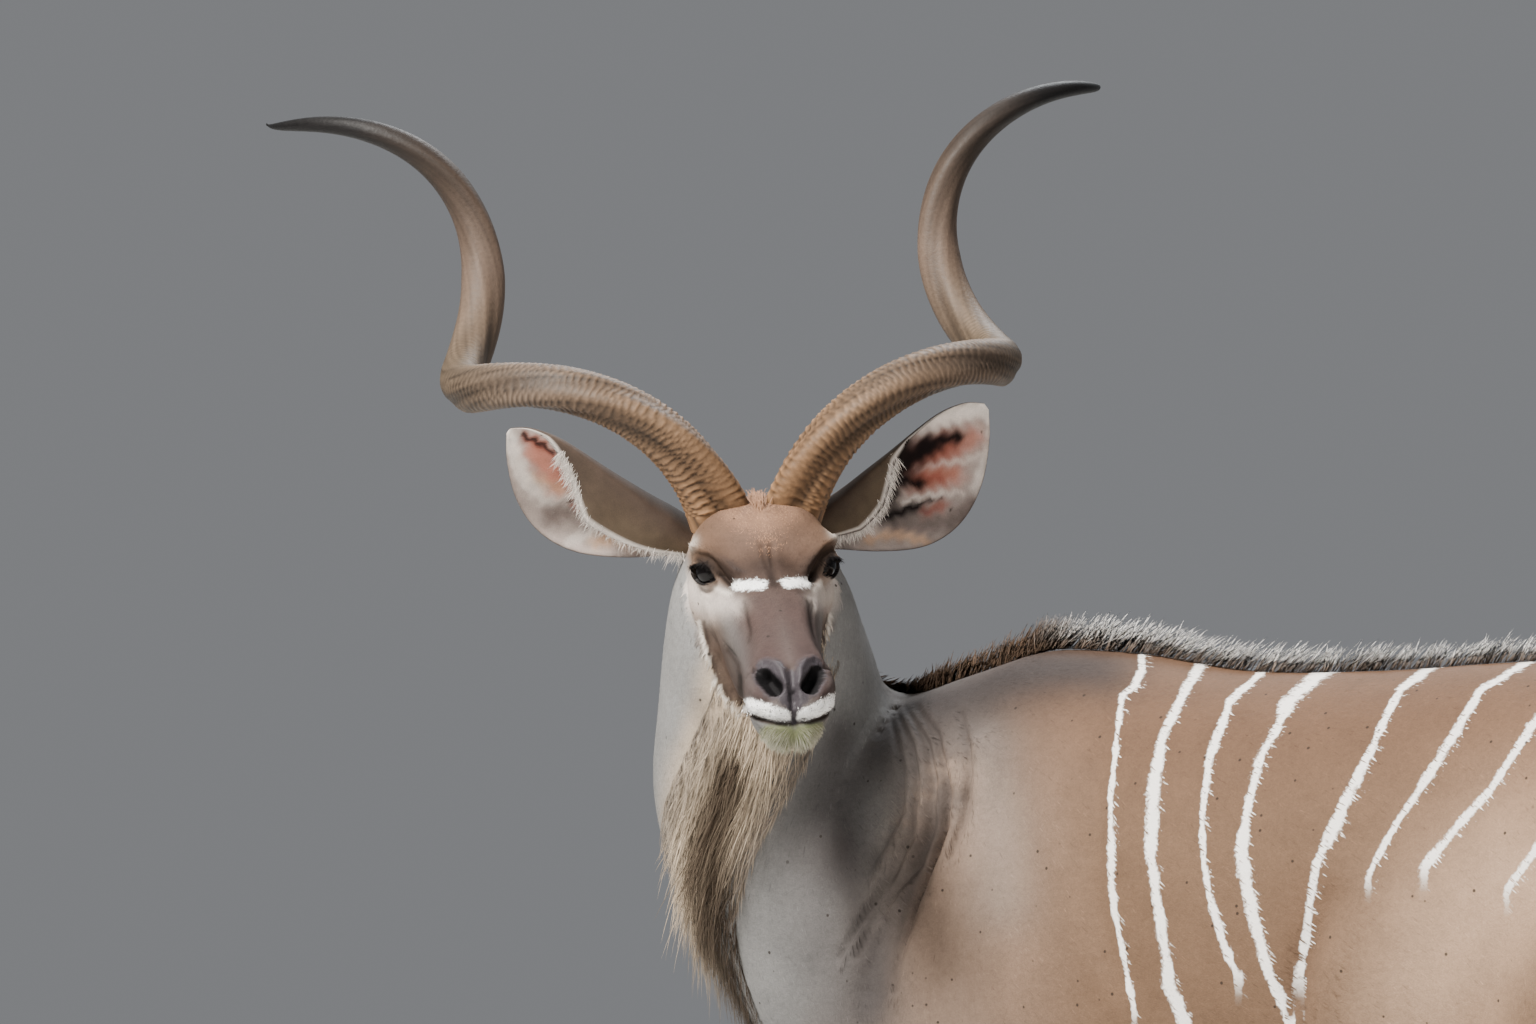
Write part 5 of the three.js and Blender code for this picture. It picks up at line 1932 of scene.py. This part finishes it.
def bodyTufts(t, angle, length, width, lift, tone, curl=0.3):
    here, normal, back = onBody(t, angle)
    count = len(t)
    return {
        **plainRows(count),
        "root": here, "normal": normal, "lie": back + rng.normal(0, 0.1, (count, 3)), "tone": tone,
        "length": length, "width": width * rng.uniform(0.8, 1.2, count), "lift": lift, "curl": curl,
        "map": onMap("body", t, np.mod(angle + math.pi, math.tau) / math.tau),
    }


def gather(tufts, clumps, share):
    # tips draw together in locks: each tuft leans to the nearest of some chosen ones
    chosen = rng.choice(len(tufts["root"]), clumps, replace=False)
    tree = KDTree(clumps)
    for number, spot in enumerate(tufts["root"][chosen]):
        tree.insert(spot, number)
    tree.balance()
    near = np.array([tree.find(root)[1] for root in tufts["root"]])
    tufts["pull"] = tufts["pull"] + (tufts["root"][chosen][near] - tufts["root"]) * share


def growCrest():
    count = crest["tufts"]
    t, along = spotsAlong(crest["reach"], count)
    across = drawn(crest["across"], count) * crest["half"]
    angle = across / bodyFrame(t)[5] * 0.9
    length = graded(crest["lengths"], along)
    length *= rng.uniform(0.72, 1.12, count) * (1 - 0.25 * np.abs(across) / crest["half"])
    lift = drawn(crest["lift"], count)
    tone = np.tile(maneBrown, (count, 1)) * drawn(crest["shade"], (count, 1))
    tufts = bodyTufts(t, angle, length, crest["width"], lift, tone)
    tufts["pale"] = smooth(-t, -0.53, -0.44) * smooth(t, 0.13, 0.24) * rng.uniform(0.6, 1, count)
    gather(tufts, 150, 0.5)

    def tips(tufts, tone, shares):
        weight = smooth(shares, 0.22, 0.55)[None, :, None] * tufts["pale"][:, None, None]
        return toward(tone, crest["white"], weight)

    layCoat("crest", tufts, "long", tips)


def growNape():
    count = nape["tufts"]
    t, along = spotsAlong(nape["reach"], count)
    angle = drawn(nape["across"], count) * nape["half"] / bodyFrame(t)[5]
    length = graded(nape["lengths"], along) * rng.uniform(0.7, 1.15, count)
    tone = np.tile(maneBrown, (count, 1)) * drawn(nape["shade"], (count, 1))
    tufts = bodyTufts(t, angle, length, nape["width"], drawn(nape["lift"], count), tone)
    gather(tufts, 70, 0.5)
    layCoat("nape", tufts, "long")


def growThroat():
    count = throat["tufts"]
    t, along = spotsAlong(throat["reach"], count)
    offset = drawn(throat["across"], count)
    turn = np.interp(t, *np.array(throat["turn"]).T)
    angle = math.pi - turn + offset * throat["half"]
    length = throat["length"] * np.sin(math.pi * (0.14 + 0.78 * along)) ** 0.8
    length *= 1 - 0.62 * smooth(along, 0.35, 0.8)
    length *= rng.uniform(0.6, 1.12, count) * (1 - 0.68 * np.abs(offset))
    reach, line = throat["dark"]
    flat = inPicture(bodySpot(t, angle))
    dark = np.exp(-(toLine(flat, line)[0] / reach) ** 4) * rng.uniform(0.8, 1, count)
    streak = 0.5 + 0.5 * np.sin(angle * 70 + 3 * np.sin(t * 60))
    shade = (0.72 + 0.4 * streak)[:, None] * drawn(throat["shade"], (count, 1))
    tone = np.tile(throat["cream"], (count, 1)) * shade
    dull = smooth(np.abs(offset), 0.25, 0.95)[:, None] * rng.uniform(0.5, 1, (count, 1))
    tone = toward(tone, throat["dull"], dull)
    tone = toward(tone, throat["core"], dark[:, None])
    tufts = bodyTufts(t, angle, length, throat["width"], drawn(throat["lift"], count), tone, 0.5)
    tufts["droop"] = rng.uniform(0.1, 0.45, count)
    tufts["lie"] = tufts["lie"] + rng.normal(0, 0.12, (count, 3))
    gather(tufts, 300, 0.4)
    layCoat("throat", tufts, "long")


tailHair = {
    "tufts": 1700,
    "reach": (0.06, 0.99),
    "lengths": [30, 55, 90, 120, 130, 118, 98],  # down the dock
    "width": 2.4,
    "lift": (13, 5, 2, 28),
    "brown": (0.85, 0.2, 0.3, 1.4),
    "white": (0.95, 0.08, 0.6, 1.1),
    "dark": (0.05, 0.032, 0.022),
}


def growTail():
    # a bushy tail: brown behind, white towards the legs, dark at its end
    count = tailHair["tufts"]
    t, along = spotsAlong(tailHair["reach"], count, 0.85)
    angle = rng.uniform(-math.pi, math.pi, count)
    normal = np.stack((-np.cos(angle), -np.sin(angle), np.zeros(count)), 1)
    length = graded(tailHair["lengths"], along)
    brown = np.array(coatColors["tail"]) * drawn(tailHair["brown"], (count, 1))
    white = np.array(coatColors["tail under"]) * drawn(tailHair["white"], (count, 1))
    tone = toward(brown, white, smooth(np.cos(angle), -0.15, 0.45)[:, None])
    dark = smooth(t, 0.8, 0.93) * rng.uniform(0.7, 1, count)
    tone = toward(tone, tailHair["dark"], dark[:, None])
    tufts = {
        **plainRows(count),
        "root": tailSpot(t, angle), "normal": normal, "tone": tone,
        "lie": np.array((0, 0, -1)) + rng.normal(0, 0.09, (count, 3)),
        "map": onMap("tail", angle / math.tau + 0.5, t),
        "length": length * rng.uniform(0.7, 1.05, count),
        "width": tailHair["width"] * rng.uniform(0.8, 1.2, count),
        "lift": drawn(tailHair["lift"], count), "droop": np.full(count, 0.05), "curl": 0.8,
    }
    gather(tufts, 90, 0.4)
    layCoat("tail", tufts, "long")


growCrest()
growNape()
growThroat()
growTail()

# A pale studio: floor, even sky and three soft lamps
studio = {
    "floor": 7,  # radius: its far edge lies below the picture
    "floorColor": (0.62, 0.61, 0.59, 1),
    "floorRoughness": 0.9,
    "sky": (0.80, 0.82, 0.86, 1),
    "skyStrength": 0.26,
    "middle": (0, -60, 1450),  # what the lamps are aimed at
    "lamps": [
        # place by azimuth, height angle and distance from the animal's middle; size, watts, colour
        (-12, 48, 6.5, 1.7, 1500, (1.0, 0.97, 0.92)),
        (60, 24, 7.0, 3.2, 150, (1.0, 0.97, 0.93)),
        (205, 46, 6.5, 2.6, 450, (0.92, 0.96, 1.0)),
    ],
}


def makeStudio():
    bm = bmesh.new()
    bmesh.ops.create_circle(bm, cap_ends=True, segments=96, radius=studio["floor"])
    mesh = bpy.data.meshes.new("floor")
    bm.to_mesh(mesh)
    bm.free()
    floor = bpy.data.objects.new("floor", mesh)
    bpy.context.scene.collection.objects.link(floor)
    shader = Shader("floor", {"Base Color": studio["floorColor"], "Roughness": studio["floorRoughness"]})
    mesh.materials.append(shader.material)
    world = bpy.data.worlds.new("sky")
    world.use_nodes = True
    inputs = world.node_tree.nodes["Background"].inputs
    inputs["Color"].default_value = studio["sky"]
    inputs["Strength"].default_value = studio["skyStrength"]
    bpy.context.scene.world = world
    middle = Vector(toRow(studio["middle"]))
    for number, (turn, rise, distance, size, watts, color) in enumerate(studio["lamps"]):
        turn, rise = math.radians(turn), math.radians(rise)
        lamp = bpy.data.lights.new("lamp" + str(number), "AREA")
        lamp.size = size
        lamp.energy = watts
        lamp.color = color
        away = Vector((
            math.sin(turn) * math.cos(rise), -math.cos(turn) * math.cos(rise), math.sin(rise)))
        aimed(lamp.name, lamp, middle + away * distance, away)


makeStudio()

print("studio made")
